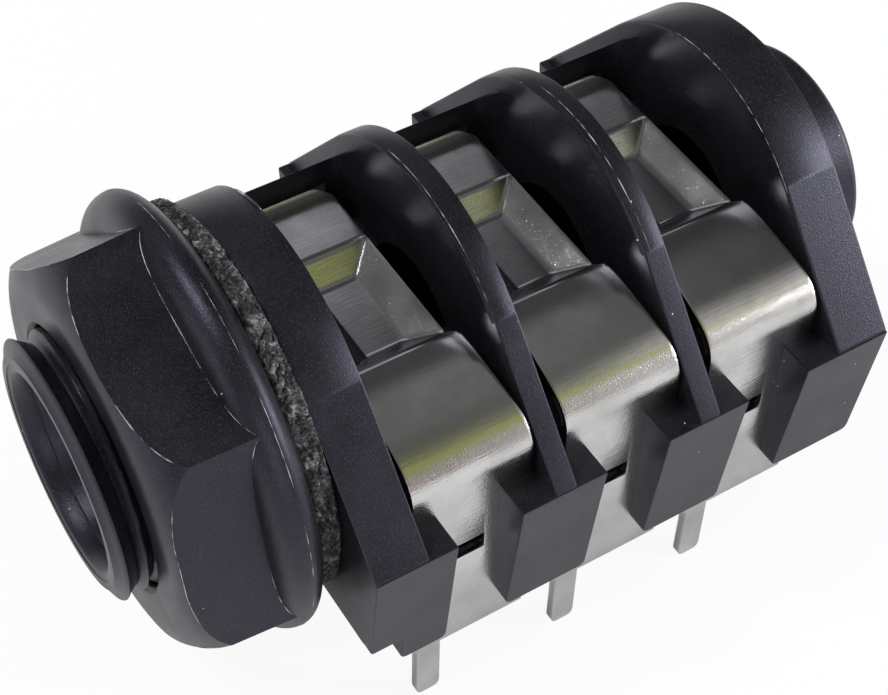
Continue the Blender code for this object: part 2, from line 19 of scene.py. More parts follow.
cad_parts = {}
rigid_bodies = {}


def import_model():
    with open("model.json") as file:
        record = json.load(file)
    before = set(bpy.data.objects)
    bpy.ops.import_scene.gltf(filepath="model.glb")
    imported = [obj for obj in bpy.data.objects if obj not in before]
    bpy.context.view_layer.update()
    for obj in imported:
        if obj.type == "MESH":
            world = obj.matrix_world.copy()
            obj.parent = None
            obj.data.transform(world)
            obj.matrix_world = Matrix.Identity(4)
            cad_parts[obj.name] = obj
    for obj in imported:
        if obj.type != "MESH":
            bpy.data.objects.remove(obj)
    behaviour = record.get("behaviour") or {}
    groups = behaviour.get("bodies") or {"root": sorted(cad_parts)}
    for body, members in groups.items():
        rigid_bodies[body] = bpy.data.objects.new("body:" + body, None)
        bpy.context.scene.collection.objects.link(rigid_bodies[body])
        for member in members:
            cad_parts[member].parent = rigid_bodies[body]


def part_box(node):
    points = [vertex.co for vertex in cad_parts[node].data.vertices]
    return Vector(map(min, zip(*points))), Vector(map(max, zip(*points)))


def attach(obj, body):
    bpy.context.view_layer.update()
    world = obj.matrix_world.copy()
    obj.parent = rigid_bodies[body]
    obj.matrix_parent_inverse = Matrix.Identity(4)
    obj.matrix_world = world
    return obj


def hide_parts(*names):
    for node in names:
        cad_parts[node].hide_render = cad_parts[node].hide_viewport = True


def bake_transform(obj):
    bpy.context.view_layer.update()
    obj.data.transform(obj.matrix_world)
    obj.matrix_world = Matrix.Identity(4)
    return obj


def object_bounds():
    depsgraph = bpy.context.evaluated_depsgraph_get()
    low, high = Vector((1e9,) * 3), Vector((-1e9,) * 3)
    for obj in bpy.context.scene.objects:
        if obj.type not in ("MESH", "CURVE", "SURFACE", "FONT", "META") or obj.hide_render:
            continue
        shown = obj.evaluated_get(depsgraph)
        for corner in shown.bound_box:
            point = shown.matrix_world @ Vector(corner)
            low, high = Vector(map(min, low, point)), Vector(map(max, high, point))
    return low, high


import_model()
CAD_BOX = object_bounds()

MM = 0.001
LOG = logging.getLogger("jack_socket")

Point = tuple[float, float]
Colour = tuple[float, float, float, float]
Stop = tuple[float, Colour]
Span = tuple[float, float]


# Colours and nodes


def linear(code: str) -> Colour:
    """Turns an sRGB hex code into a linear colour.

    Args:
        code: six hex digits with a leading sign, such as "#1c1c20".

    Returns:
        Red, green, blue and an alpha of 1, all linear.
    """
    shares = [int(code[i:i + 2], 16) / 255 for i in (1, 3, 5)]
    r, g, b = (c / 12.92 if c <= 0.04045 else ((c + 0.055) / 1.055) ** 2.4 for c in shares)
    return (r, g, b, 1.0)


def add_node(
    tree: bpy.types.NodeTree, kind: str, feeds: dict | None = None, stops: Sequence[Stop] = (),
    **settings: object,
) -> bpy.types.Node:
    """Adds one node with its settings, and sets or links its inputs.

    Args:
        tree: the node tree of a material or of the world.
        kind: the node's type, such as "ShaderNodeTexNoise".
        feeds: input name or number to a plain value or to the output socket that feeds it.
        stops: a colour ramp's places from 0 to 1 with their linear colours, two or more.
        settings: attributes of the node itself.

    Returns:
        The new node.
    """
    node = tree.nodes.new(kind)
    for name, value in settings.items():
        setattr(node, name, value)
    for key, value in (feeds or {}).items():
        if isinstance(value, bpy.types.NodeSocket):
            tree.links.new(value, node.inputs[key])
        else:
            node.inputs[key].default_value = value
    if stops:
        elements = node.color_ramp.elements
        elements.remove(elements[-1])
        elements[0].position, elements[0].color = stops[0]
        for place, colour in stops[1:]:
            elements.new(place).color = colour
    return node


def blank_material(name: str) -> tuple[bpy.types.Material, bpy.types.NodeTree, bpy.types.Node]:
    """Makes an empty material.

    Args:
        name: the finish's name.

    Returns:
        The material, its tree and its output node.
    """
    material = bpy.data.materials.new(name)
    material.use_nodes = True
    tree = material.node_tree
    tree.nodes.clear()
    return material, tree, add_node(tree, "ShaderNodeOutputMaterial")


def grey(value: float) -> Colour:
    """A linear grey."""
    return (value, value, value, 1.0)


# Finishes


@dataclass(frozen=True)
class MouldedNylon:
    """Black nylon, injection moulded.

    The spark-eroded mould leaves a fine grain that glints on crowns and facets. Faces along the
    mould's draw are polished by it, so they look smoother. Pale dust lies on all.
    """

    name: str = "moulded_nylon"
    base: str = "#101012"
    worn: str = "#19191c"
    worn_span: Span = (0.35, 0.75)
    dust: str = "#c0c0c8"
    roughness: float = 0.31
    rough_spread: float = 0.10
    rough_span: Span = (0.3, 0.7)
    ior: float = 1.53
    specular: float = 0.40
    tint: str = "#dcdcff"
    grain: str = "#303036"
    # Spark erosion leaves a grain of about 0.02 mm. It is drawn three times as coarse, so that it shows.
    grain_mm: float = 0.065
    grain_depth_mm: float = 0.012
    peak_span: Span = (0.54, 0.66)
    peak_share: float = 0.9
    drawn_share: float = 0.22
    drawn_span: Span = (0.9, 0.97)
    cloud_mm: float = 2.4
    dust_pitch_mm: float = 0.42
    dust_size_mm: float = 0.034
    dust_share: float = 0.15

    def make(self) -> bpy.types.Material:
        """Builds the material: mottled black, grain in the bump and specks of pale dust.

        Returns:
            The material.
        """
        material, tree, output = blank_material(self.name)
        coordinates = add_node(tree, "ShaderNodeTexCoord")
        place = coordinates.outputs["Object"]
        grain = add_node(tree, "ShaderNodeTexNoise", {
            "Vector": place, "Scale": 1 / (self.grain_mm * MM), "Detail": 2.0, "Roughness": 0.7,
        })
        cloud = add_node(tree, "ShaderNodeTexNoise", {
            "Vector": place, "Scale": 1 / (self.cloud_mm * MM), "Detail": 4.0, "Roughness": 0.55,
        })
        body = add_node(tree, "ShaderNodeValToRGB", {"Fac": cloud.outputs["Fac"]}, stops=[
            (self.worn_span[0], linear(self.base)), (self.worn_span[1], linear(self.worn)),
        ])
        peaks = add_node(tree, "ShaderNodeMapRange", {
            "Value": grain.outputs["Fac"], "From Min": self.peak_span[0], "From Max": self.peak_span[1],
            "To Max": self.peak_share,
        })
        grained = add_node(tree, "ShaderNodeMix", {
            "Factor": peaks.outputs["Result"], "A": body.outputs["Color"], "B": linear(self.grain),
        }, data_type="RGBA")
        specks = add_node(tree, "ShaderNodeTexVoronoi", {
            "Vector": place, "Scale": 1 / (self.dust_pitch_mm * MM), "Randomness": 1.0,
        })
        near = add_node(tree, "ShaderNodeMath", {
            0: specks.outputs["Distance"], 1: self.dust_size_mm / self.dust_pitch_mm,
        }, operation="LESS_THAN")
        chosen = add_node(tree, "ShaderNodeMath", {
            0: specks.outputs["Color"], 1: self.dust_share,
        }, operation="LESS_THAN")
        dusty = add_node(tree, "ShaderNodeMath", {
            0: near.outputs[0], 1: chosen.outputs[0],
        }, operation="MULTIPLY")
        colour = add_node(tree, "ShaderNodeMix", {
            "Factor": dusty.outputs[0], "A": grained.outputs["Result"], "B": linear(self.dust),
        }, data_type="RGBA")
        rough = add_node(tree, "ShaderNodeMapRange", {
            "Value": cloud.outputs["Fac"], "From Min": self.rough_span[0], "From Max": self.rough_span[1],
            "To Min": self.roughness, "To Max": self.roughness + self.rough_spread,
        })
        facing = add_node(tree, "ShaderNodeVectorMath", {
            0: coordinates.outputs["Normal"],
        }, operation="ABSOLUTE")
        parts = add_node(tree, "ShaderNodeSeparateXYZ", {"Vector": facing.outputs[0]})
        along_draw = add_node(tree, "ShaderNodeMath", {
            0: parts.outputs["X"], 1: parts.outputs["Y"],
        }, operation="MAXIMUM")
        strength = add_node(tree, "ShaderNodeMapRange", {
            "Value": along_draw.outputs[0], "From Min": self.drawn_span[0], "From Max": self.drawn_span[1],
            "To Min": 1.0, "To Max": self.drawn_share,
        })
        bump = add_node(tree, "ShaderNodeBump", {
            "Height": grain.outputs["Fac"], "Distance": self.grain_depth_mm * MM,
            "Strength": strength.outputs["Result"],
        })
        shader = add_node(tree, "ShaderNodeBsdfPrincipled", {
            "Base Color": colour.outputs["Result"], "Roughness": rough.outputs["Result"],
            "IOR": self.ior, "Specular IOR Level": self.specular, "Normal": bump.outputs["Normal"],
            "Specular Tint": linear(self.tint),
        })
        tree.links.new(shader.outputs[0], output.inputs["Surface"])
        return material


@dataclass(frozen=True)
class VulcanisedFibre:
    """Grey vulcanised fibre, punched from sheet: a torn, felted edge that looks dry and rough."""

    name: str = "vulcanised_fibre"
    dark: str = "#121213"
    middle: str = "#4a4a4c"
    pale: str = "#a4a4a4"
    stops: tuple[float, float, float] = (0.42, 0.53, 0.63)
    roughness: float = 0.85
    ior: float = 1.5
    specular: float = 0.35
    # Torn fibre ends are about 0.05 mm. They are drawn four times as coarse, so that they show.
    fibre_mm: float = 0.22
    pit_mm: float = 0.6
    pit_share: float = 0.35
    depth_mm: float = 0.14

    def make(self) -> bpy.types.Material:
        """Builds the material: pits and pale fibre ends over dark board.

        Returns:
            The material.
        """
        material, tree, output = blank_material(self.name)
        place = add_node(tree, "ShaderNodeTexCoord").outputs["Object"]
        fibre = add_node(tree, "ShaderNodeTexNoise", {
            "Vector": place, "Scale": 1 / (self.fibre_mm * MM), "Detail": 6.0, "Roughness": 0.75,
            "Distortion": 1.2,
        })
        pits = add_node(tree, "ShaderNodeTexNoise", {
            "Vector": place, "Scale": 1 / (self.pit_mm * MM), "Detail": 3.0, "Roughness": 0.6,
        })
        both = add_node(tree, "ShaderNodeMix", {
            "Factor": self.pit_share, "A": fibre.outputs["Fac"], "B": pits.outputs["Fac"],
        }, data_type="FLOAT")
        codes = (self.dark, self.middle, self.pale)
        colour = add_node(tree, "ShaderNodeValToRGB", {"Fac": both.outputs[0]}, stops=[
            (share, linear(code)) for share, code in zip(self.stops, codes)
        ])
        bump = add_node(tree, "ShaderNodeBump", {
            "Height": both.outputs[0], "Distance": self.depth_mm * MM, "Strength": 1.0,
        })
        shader = add_node(tree, "ShaderNodeBsdfPrincipled", {
            "Base Color": colour.outputs["Color"], "Roughness": self.roughness, "IOR": self.ior,
            "Specular IOR Level": self.specular, "Normal": bump.outputs["Normal"],
        })
        tree.links.new(shader.outputs[0], output.inputs["Surface"])
        return material


@dataclass(frozen=True)
class NickelPlate:
    """Bright nickel plate over rolled copper alloy.

    It is a soft mirror: rolling marks run along the socket and draw reflections out into streaks,
    a fine grit from pressing makes the bends and pockets glisten, and faint tarnish clouds it.
    """

    name: str = "bright_nickel_plate"
    clean: str = "#cac9c9"
    dull: str = "#b4b3b2"
    dull_span: Span = (0.38, 0.72)
    roughness: float = 0.13
    rough_spread: float = 0.09
    rough_span: Span = (0.35, 0.7)
    # Rolling marks are about 0.01 mm apart. They are drawn twelve times as coarse, so that they show.
    rolling_mm: float = 0.12
    rolling_stretch: float = 9.0
    rolling_depth_mm: float = 0.015
    flat_share: float = 0.12
    formed_span: Span = (0.40, 0.70)
    cloud_mm: float = 2.2
    # The pressed skin's grit is about 0.02 mm. It is drawn three times as coarse, so that it shows.
    grit_mm: float = 0.06
    grit_depth_mm: float = 0.009
    dent_mm: float = 2.0
    dent_depth_mm: float = 0.010

    def make(self) -> bpy.types.Material:
        """Builds the material: rolling marks, grit, shallow waves and clouds of tarnish.

        Returns:
            The material.
        """
        material, tree, output = blank_material(self.name)
        coordinates = add_node(tree, "ShaderNodeTexCoord")
        place = coordinates.outputs["Object"]
        facing = add_node(tree, "ShaderNodeVectorMath", {
            0: coordinates.outputs["Normal"],
        }, operation="ABSOLUTE")
        parts = add_node(tree, "ShaderNodeSeparateXYZ", {"Vector": facing.outputs[0]})
        sloped = add_node(tree, "ShaderNodeMath", {
            0: parts.outputs["X"], 1: parts.outputs["Y"],
        }, operation="MAXIMUM")
        formed = add_node(tree, "ShaderNodeMapRange", {
            "Value": sloped.outputs[0], "From Min": self.formed_span[0], "From Max": self.formed_span[1],
            "To Min": self.flat_share, "To Max": 1.0,
        })
        drawn = add_node(tree, "ShaderNodeMapping", {
            "Vector": place, "Scale": (1.0, 1 / self.rolling_stretch, 1.0),
        })
        marks = add_node(tree, "ShaderNodeTexNoise", {
            "Vector": drawn.outputs[0], "Scale": 1 / (self.rolling_mm * MM), "Detail": 4.0, "Roughness": 0.6,
        })
        cloud = add_node(tree, "ShaderNodeTexNoise", {
            "Vector": place, "Scale": 1 / (self.cloud_mm * MM), "Detail": 4.0, "Roughness": 0.55,
        })
        grit = add_node(tree, "ShaderNodeTexNoise", {
            "Vector": place, "Scale": 1 / (self.grit_mm * MM), "Detail": 2.0, "Roughness": 0.6,
        })
        waves = add_node(tree, "ShaderNodeTexNoise", {
            "Vector": place, "Scale": 1 / (self.dent_mm * MM), "Detail": 1.0, "Roughness": 0.4,
        })
        colour = add_node(tree, "ShaderNodeValToRGB", {"Fac": cloud.outputs["Fac"]}, stops=[
            (self.dull_span[0], linear(self.clean)), (self.dull_span[1], linear(self.dull)),
        ])
        rough = add_node(tree, "ShaderNodeMapRange", {
            "Value": cloud.outputs["Fac"], "From Min": self.rough_span[0], "From Max": self.rough_span[1],
            "To Min": self.roughness, "To Max": self.roughness + self.rough_spread,
        })
        bump = add_node(tree, "ShaderNodeBump", {
            "Height": waves.outputs["Fac"], "Distance": self.dent_depth_mm * MM, "Strength": 1.0,
        })
        for height, depth in ((marks, self.rolling_depth_mm), (grit, self.grit_depth_mm)):
            bump = add_node(tree, "ShaderNodeBump", {
                "Height": height.outputs["Fac"], "Distance": depth * MM,
                "Strength": formed.outputs["Result"], "Normal": bump.outputs["Normal"],
            })
        shader = add_node(tree, "ShaderNodeBsdfPrincipled", {
            "Base Color": colour.outputs["Color"], "Metallic": 1.0,
            "Roughness": rough.outputs["Result"], "Normal": bump.outputs["Normal"],
        })
        tree.links.new(shader.outputs[0], output.inputs["Surface"])
        return material


@dataclass(frozen=True)
class NylonFlash:
    """Thin nylon squeezed out where the mould's halves meet: paler, because light passes its edge."""

    name: str = "nylon_flash"
    thin: str = "#b4b4be"
    thick: str = "#34343c"
    thin_span: Span = (0.4, 0.6)
    roughness: float = 0.4
    ior: float = 1.53
    break_mm: float = 0.5

    def make(self) -> bpy.types.Material:
        """Builds the material: pale where thin and dark where it thickens.

        Returns:
            The material.
        """
        material, tree, output = blank_material(self.name)
        place = add_node(tree, "ShaderNodeTexCoord").outputs["Object"]
        run = add_node(tree, "ShaderNodeTexNoise", {
            "Vector": place, "Scale": 1 / (self.break_mm * MM), "Detail": 2.0, "Roughness": 0.5,
        })
        colour = add_node(tree, "ShaderNodeValToRGB", {"Fac": run.outputs["Fac"]}, stops=[
            (self.thin_span[0], linear(self.thick)), (self.thin_span[1], linear(self.thin)),
        ])
        shader = add_node(tree, "ShaderNodeBsdfPrincipled", {
            "Base Color": colour.outputs["Color"], "Roughness": self.roughness, "IOR": self.ior,
        })
        tree.links.new(shader.outputs[0], output.inputs["Surface"])
        return material


@dataclass(frozen=True)
class SweepPaper:
    """White sweep paper under the object: matt, lifted to white at the camera, with the shadow kept."""

    name: str = "sweep_paper"
    colour: str = "#f4f4f4"
    seen_lift: float = 0.92
    mirrored_lift: float = 0.12

    def make(self) -> bpy.types.Material:
        """Builds the material: matt paper, lifted towards white for what looks straight at it.

        Returns:
            The material.
        """
        material, tree, output = blank_material(self.name)
        path = add_node(tree, "ShaderNodeLightPath")
        mirrored = add_node(tree, "ShaderNodeMath", {
            0: path.outputs["Is Glossy Ray"], 1: path.outputs["Is Transmission Ray"],
        }, operation="MAXIMUM")
        seen = add_node(tree, "ShaderNodeMath", {
            0: path.outputs["Is Camera Ray"], 1: self.seen_lift,
        }, operation="MULTIPLY")
        share = add_node(tree, "ShaderNodeMath", {
            0: mirrored.outputs[0], 1: self.mirrored_lift, 2: seen.outputs[0],
        }, operation="MULTIPLY_ADD")
        matt = add_node(tree, "ShaderNodeBsdfDiffuse", {"Color": linear(self.colour)})
        white = add_node(tree, "ShaderNodeEmission", {"Color": grey(1.0), "Strength": 1.0})
        mixed = add_node(tree, "ShaderNodeMixShader", {
            "Fac": share.outputs[0], 1: matt.outputs[0], 2: white.outputs[0],
        })
        tree.links.new(mixed.outputs[0], output.inputs["Surface"])
        return material


@dataclass(frozen=True)
class ClothPatch:
    """A patch of painted reflection on the dome: its colour, and where it fades in along one or more axes."""

    code: str
    fades: tuple[tuple[str, float, float], ...]

    def lay(
        self, tree: bpy.types.NodeTree, parts: bpy.types.Node, under: bpy.types.NodeSocket,
    ) -> bpy.types.NodeSocket:
        """Lays the patch over what is there.

        Args:
            tree: the dome's node tree.
            parts: the node that splits the direction into X, Y and Z.
            under: the colour output that is there already.

        Returns:
            The colour output with the patch on it.
        """
        share = None
        for axis, start, end in self.fades:
            fade = add_node(tree, "ShaderNodeMapRange", {
                "Value": parts.outputs[axis], "From Min": start, "From Max": end,
            })
            share = fade.outputs["Result"] if share is None else add_node(tree, "ShaderNodeMath", {
                0: share, 1: fade.outputs["Result"],
            }, operation="MULTIPLY").outputs[0]
        return add_node(tree, "ShaderNodeMix", {
            "Factor": share, "A": under, "B": linear(self.code),
        }, data_type="RGBA").outputs["Result"]


@dataclass(frozen=True)
class GreyTent:
    """Glowing dome round the set, seen only by glossy rays in place of a bare room: painted reflections.

    Its walls are painted warm grey on the right and cool grey on the left. Its roof is pieced from painted
    greys, with a painted straw-coloured patch on the right that the bends and the pockets' walls mirror.
    """

    name: str = "painted_reflection_dome"
    # Every colour below is a painted reflection, light or dark; the dome glows but lights nothing.
    foot: str = "#f2f2f2"
    warm: str = "#a89c97"
    foot_span: Span = (0.03, 0.07)
    left: ClothPatch = ClothPatch("#5a5a60", (("X", -0.1, -0.5),))
    rear: ClothPatch = ClothPatch("#39393b", (("Y", 0.40, 0.53), ("X", -0.5, -0.3)))
    front: ClothPatch = ClothPatch("#484848", (("Y", -0.15, -0.40),))
    # Painted highlight: a near-white patch that the bends mirror as a bright band.
    shine: ClothPatch = ClothPatch("#fbf9f5", (("Y", 0.37, 0.47), ("X", 0.15, 0.36)))
    roof_span: Span = (0.50, 0.62)
    panels: tuple[tuple[float, str], ...] = (
        (-0.66, "#bcbcc2"), (-0.61, "#a2a2a8"), (-0.575, "#4a4a4c"), (-0.40, "#4e4e50"), (-0.12, "#4c4c4e"),
        (-0.02, "#767676"), (0.05, "#868687"), (0.12, "#6e6e6e"), (0.22, "#5c5c5a"), (0.34, "#74746c"),
        (0.60, "#86867e"), (0.80, "#9a928e"),
    )
    # Painted reflection: a straw-coloured spot that the bends and the pockets' walls mirror.
    straw: str = "#a8b060"
    straw_from: tuple[float, float, float] = (0.50, 0.28, 0.80)
    straw_core: float = 0.990
    straw_rim: float = 0.962

    def make(self) -> bpy.types.Material:
        """Builds the material: painted reflections, by the direction the dome is seen in from the object.

        Returns:
            The material.
        """
        material, tree, output = blank_material(self.name)
        place = add_node(tree, "ShaderNodeTexCoord").outputs["Object"]
        aim = add_node(tree, "ShaderNodeVectorMath", {0: place}, operation="NORMALIZE")
        parts = add_node(tree, "ShaderNodeSeparateXYZ", {"Vector": aim.outputs[0]})
        walls = add_node(tree, "ShaderNodeValToRGB", {"Fac": parts.outputs["Z"]}, stops=[
            (self.foot_span[0], linear(self.foot)), (self.foot_span[1], linear(self.warm)),
        ])
        first, last = self.panels[0][0], self.panels[-1][0]
        across = add_node(tree, "ShaderNodeMapRange", {
            "Value": parts.outputs["X"], "From Min": first, "From Max": last,
        })
        roof = add_node(tree, "ShaderNodeValToRGB", {"Fac": across.outputs["Result"]}, stops=[
            ((x - first) / (last - first), linear(code)) for x, code in self.panels
        ])
        height = add_node(tree, "ShaderNodeMapRange", {
            "Value": parts.outputs["Z"], "From Min": self.roof_span[0], "From Max": self.roof_span[1],
        })
        cloth = add_node(tree, "ShaderNodeMix", {
            "Factor": height.outputs["Result"],
            "A": self.left.lay(tree, parts, walls.outputs["Color"]),
            "B": self.front.lay(tree, parts, self.rear.lay(tree, parts, roof.outputs["Color"])),
        }, data_type="RGBA")
        close = add_node(tree, "ShaderNodeVectorMath", {
            0: aim.outputs[0], 1: tuple(Vector(self.straw_from).normalized()),
        }, operation="DOT_PRODUCT")
        patch = add_node(tree, "ShaderNodeMapRange", {
            "Value": close.outputs["Value"], "From Min": self.straw_rim, "From Max": self.straw_core,
        }, interpolation_type="SMOOTHSTEP")
        colour = add_node(tree, "ShaderNodeMix", {
            "Factor": patch.outputs["Result"], "A": self.shine.lay(tree, parts, cloth.outputs["Result"]),
            "B": linear(self.straw),
        }, data_type="RGBA")
        glow = add_node(tree, "ShaderNodeEmission", {"Color": colour.outputs["Result"], "Strength": 1.0})
        tree.links.new(glow.outputs[0], output.inputs["Surface"])
        material.cycles.emission_sampling = "NONE"
        return material


# Forms


class Join(Enum):
    """How a form meets the moulding."""

    UNION = "UNION"
    DIFFERENCE = "DIFFERENCE"
    INTERSECT = "INTERSECT"


def to_mesh(form: bmesh.types.BMesh, name: str = "form") -> bpy.types.Mesh:
    """Turns a form into a mesh with its faces outwards.

    Args:
        form: the form, which is freed.
        name: the mesh's name.

    Returns:
        The mesh.
    """
    bmesh.ops.recalc_face_normals(form, faces=form.faces)
    mesh = bpy.data.meshes.new(name)
    form.to_mesh(mesh)
    form.free()
    return mesh


def soften(form: bmesh.types.BMesh, width: float, steps: int = 2, corner: float = 30.0) -> None:
    """Rounds every edge that turns by more than a corner's angle.

    Args:
        form: the form.
        width: the rounding's width.
        steps: faces across the rounding.
        corner: least angle, in degrees, that counts as a corner.
    """
    if width <= 0:
        return
    bmesh.ops.recalc_face_normals(form, faces=form.faces)
    limit = math.radians(corner)
    edges = [e for e in form.edges if len(e.link_faces) == 2 and e.calc_face_angle(0.0) > limit]
    bmesh.ops.bevel(
        form, geom=edges, offset=width, segments=steps, profile=0.5, affect="EDGES", clamp_overlap=True,
    )


def prism(outline: Sequence[Point], start: float, end: float, edge: float = 0.0) -> bpy.types.Mesh:
    """Extrudes an outline along Y.

    Args:
        outline: points in X and Z.
        start: first Y.
        end: last Y.
        edge: width of the rounding on its corners.

    Returns:
        A closed mesh.
    """
    form = bmesh.new()
    face = form.faces.new([form.verts.new((x, start, z)) for x, z in outline])
    pushed = bmesh.ops.extrude_face_region(form, geom=[face])
    moved = [item for item in pushed["geom"] if isinstance(item, bmesh.types.BMVert)]
    bmesh.ops.translate(form, verts=moved, vec=(0.0, end - start, 0.0))
    soften(form, edge)
    return to_mesh(form)


def close_round(form: bmesh.types.BMesh, loops: Sequence[Sequence[bmesh.types.BMVert]]) -> None:
    """Joins closed loops of points into a closed ring.

    Args:
        form: the form that holds the points.
        loops: one loop after the other round the ring, all with as many points.
    """
    for here, after in zip(loops, [*loops[1:], loops[0]]):
        for j in range(len(here)):
            k = (j + 1) % len(here)
            form.faces.new((here[j], here[k], after[k], after[j]))


def turned(profile: Sequence[Point], height: float, steps: int = 144) -> bpy.types.Mesh:
    """Turns a closed profile about the bore's axis.

    Args:
        profile: points of radius and Y.
        height: the axis's Z.
        steps: faces round the turn.

    Returns:
        A closed mesh.
    """
    form = bmesh.new()
    loops = []
    for i in range(steps):
        angle = math.tau * i / steps
        c, s = math.cos(angle), math.sin(angle)
        loops.append([form.verts.new((r * c, y, height + r * s)) for r, y in profile])
    close_round(form, loops)
    bmesh.ops.remove_doubles(form, verts=form.verts, dist=0.0005 * MM)
    return to_mesh(form)


def arc(centre: Point, radius: float, start: float, end: float, steps: int) -> list[Point]:
    """Points on an arc.

    Args:
        centre: the arc's centre.
        radius: the arc's radius.
        start: first angle, in degrees from the first coordinate towards the second.
        end: last angle.
        steps: spaces between points.

    Returns:
        The points, both ends included.
    """
    angles = [math.radians(start + (end - start) * i / steps) for i in range(steps + 1)]
    return [(centre[0] + radius * math.cos(a), centre[1] + radius * math.sin(a)) for a in angles]


def fillet_corner(before: Point, corner: Point, after: Point, radius: float, steps: int = 6) -> list[Point]:
    """Points that round one corner of an outline.

    Args:
        before: the point ahead of the corner.
        corner: the corner.
        after: the point past it.
        radius: the rounding's radius.
        steps: spaces between points.

    Returns:
        Points from one side to the other.
    """
    back = (Vector(before) - Vector(corner)).normalized()
    ahead = (Vector(after) - Vector(corner)).normalized()
    reach = radius / math.tan(back.angle(ahead) / 2)
    first, last = Vector(corner) + back * reach, Vector(corner) + ahead * reach
    points = []
    for i in range(steps + 1):
        t = i / steps
        points.append(tuple(first * (1 - t) ** 2 + Vector(corner) * 2 * t * (1 - t) + last * t ** 2))
    return points


def bead(line: Sequence[Vector], radius: float, sides: int = 5) -> bpy.types.Mesh:
    """A thin closed bead along a line, tapered at both ends.

    Args:
        line: points in space.
        radius: the bead's radius.
        sides: faces round it.

    Returns:
        A closed mesh.
    """
    form = bmesh.new()
    rings = []
    last = len(line) - 1
    for i, point in enumerate(line):
        ahead = (line[min(i + 1, last)] - line[max(i - 1, 0)]).normalized()
        across = ahead.orthogonal().normalized()
        other = ahead.cross(across)
        here = radius * min(1.0, 0.25 + min(i, last - i) / 2)
        ring = []
        for k in range(sides):
            angle = math.tau * k / sides
            ring.append(form.verts.new(point + (across * math.cos(angle) + other * math.sin(angle)) * here))
        rings.append(ring)
    for low, high in zip(rings, rings[1:]):
        shift = min(range(sides), key=lambda s: (low[0].co - high[s].co).length)
        for k in range(sides):
            n = (k + 1) % sides
            form.faces.new((low[k], low[n], high[(n + shift) % sides], high[(k + shift) % sides]))
        high[:] = high[shift:] + high[:shift]
    form.faces.new(rings[0])
    form.faces.new(rings[-1])
    return to_mesh(form)


def gather(meshes: Sequence[bpy.types.Mesh], name: str) -> bpy.types.Mesh:
    """Puts several closed meshes into one.

    Args:
        meshes: the meshes, which are removed.
        name: the new mesh's name.

    Returns:
        The mesh that holds them all.
    """
    form = bmesh.new()
    for mesh in meshes:
        form.from_mesh(mesh)
        bpy.data.meshes.remove(mesh)
    return to_mesh(form, name)


def shade(mesh: bpy.types.Mesh, corner: float = 38.0) -> bpy.types.Mesh:
    """Shades a mesh smooth but for its corners.

    Args:
        mesh: the mesh.
        corner: least angle, in degrees, that stays sharp.

    Returns:
        The same mesh.
    """
    mesh.shade_smooth()
    mesh.set_sharp_from_angle(angle=math.radians(corner))
    return mesh


class Moulding:
    """Forms that are joined into one closed moulding."""

    def __init__(self, first: bpy.types.Mesh) -> None:
        """Starts from one form.

        Args:
            first: the form that the others join.
        """
        self.target = bpy.data.objects.new("moulding", first)
        bpy.context.scene.collection.objects.link(self.target)
        self.groups: list[bpy.types.Collection] = []

    def use(self, join: Join, meshes: Sequence[bpy.types.Mesh]) -> None:
        """Adds or takes away several forms at once.

        Args:
            join: how they meet what is there.
            meshes: the forms.
        """
        group = bpy.data.collections.new(join.value.lower())
        for mesh in meshes:
            group.objects.link(bpy.data.objects.new("tool", mesh))
        step = self.target.modifiers.new(join.value.lower(), "BOOLEAN")
        step.operation = join.value
        step.solver = "EXACT"
        step.operand_type = "COLLECTION"
        step.collection = group
        self.groups.append(group)

    def mesh(self, name: str) -> bpy.types.Mesh:
        """Works out the moulding and clears its tools away.

        Args:
            name: the mesh's name.

        Returns:
            The joined mesh.
        """
        bpy.context.view_layer.update()
        graph = bpy.context.evaluated_depsgraph_get()
        made = bpy.data.meshes.new_from_object(self.target.evaluated_get(graph))
        made.name = name
        made.materials.clear()
        for group in self.groups:
            for tool in list(group.objects):
                bpy.data.objects.remove(tool)
            bpy.data.collections.remove(group)
        bpy.data.objects.remove(self.target)
        return made


def baked(mesh: bpy.types.Mesh, dress: Callable[[bpy.types.Object], None], name: str) -> bpy.types.Mesh:
    """Works out a mesh with modifiers applied.

    Args:
        mesh: the plain mesh.
        dress: adds the modifiers to a passing object.
        name: the new mesh's name.

    Returns:
        The finished mesh.
    """
    passing = bpy.data.objects.new("passing", mesh)
    bpy.context.scene.collection.objects.link(passing)
    dress(passing)
    bpy.context.view_layer.update()
    graph = bpy.context.evaluated_depsgraph_get()
    made = bpy.data.meshes.new_from_object(passing.evaluated_get(graph))
    made.name = name
    bpy.data.objects.remove(passing)
    return made


# Shared layout


@dataclass(frozen=True)
class Layout:
    """Places that the sub-assemblies share. Y is from the panel face, Z from the board."""

    panel_y: float
    axis: float = 9.0 * MM
    pitch: float = 6.9 * MM
    bays: int = 3
    front_flange: float = 2.35 * MM
    first_rib: float = 8.0 * MM
    rib_width: float = 1.0 * MM
    rear_start: float = 21.9 * MM
    body_length: float = 24.5 * MM
    clearance: float = 0.15 * MM
    sheet: float = 0.4 * MM
    plate_face: float = 9.2 * MM
    bush_length: float = 8.0 * MM

    @classmethod
    def from_frame(cls) -> "Layout":
        """Takes the panel face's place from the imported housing, whose bush ends at its lowest Y."""
        return cls(panel_y=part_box("housing")[0].y + cls.bush_length)

    def settle(self, mesh: bpy.types.Mesh) -> bpy.types.Mesh:
        """Moves a mesh from panel-face places to the frame's."""
        mesh.transform(Matrix.Translation((0.0, self.panel_y, 0.0)))
        return mesh

    def rib_front(self, number: int) -> float:
        """Front of a rib, counted from 1; the last one is the rear flange."""
        return self.rear_start if number == self.bays else self.first_rib + (number - 1) * self.pitch


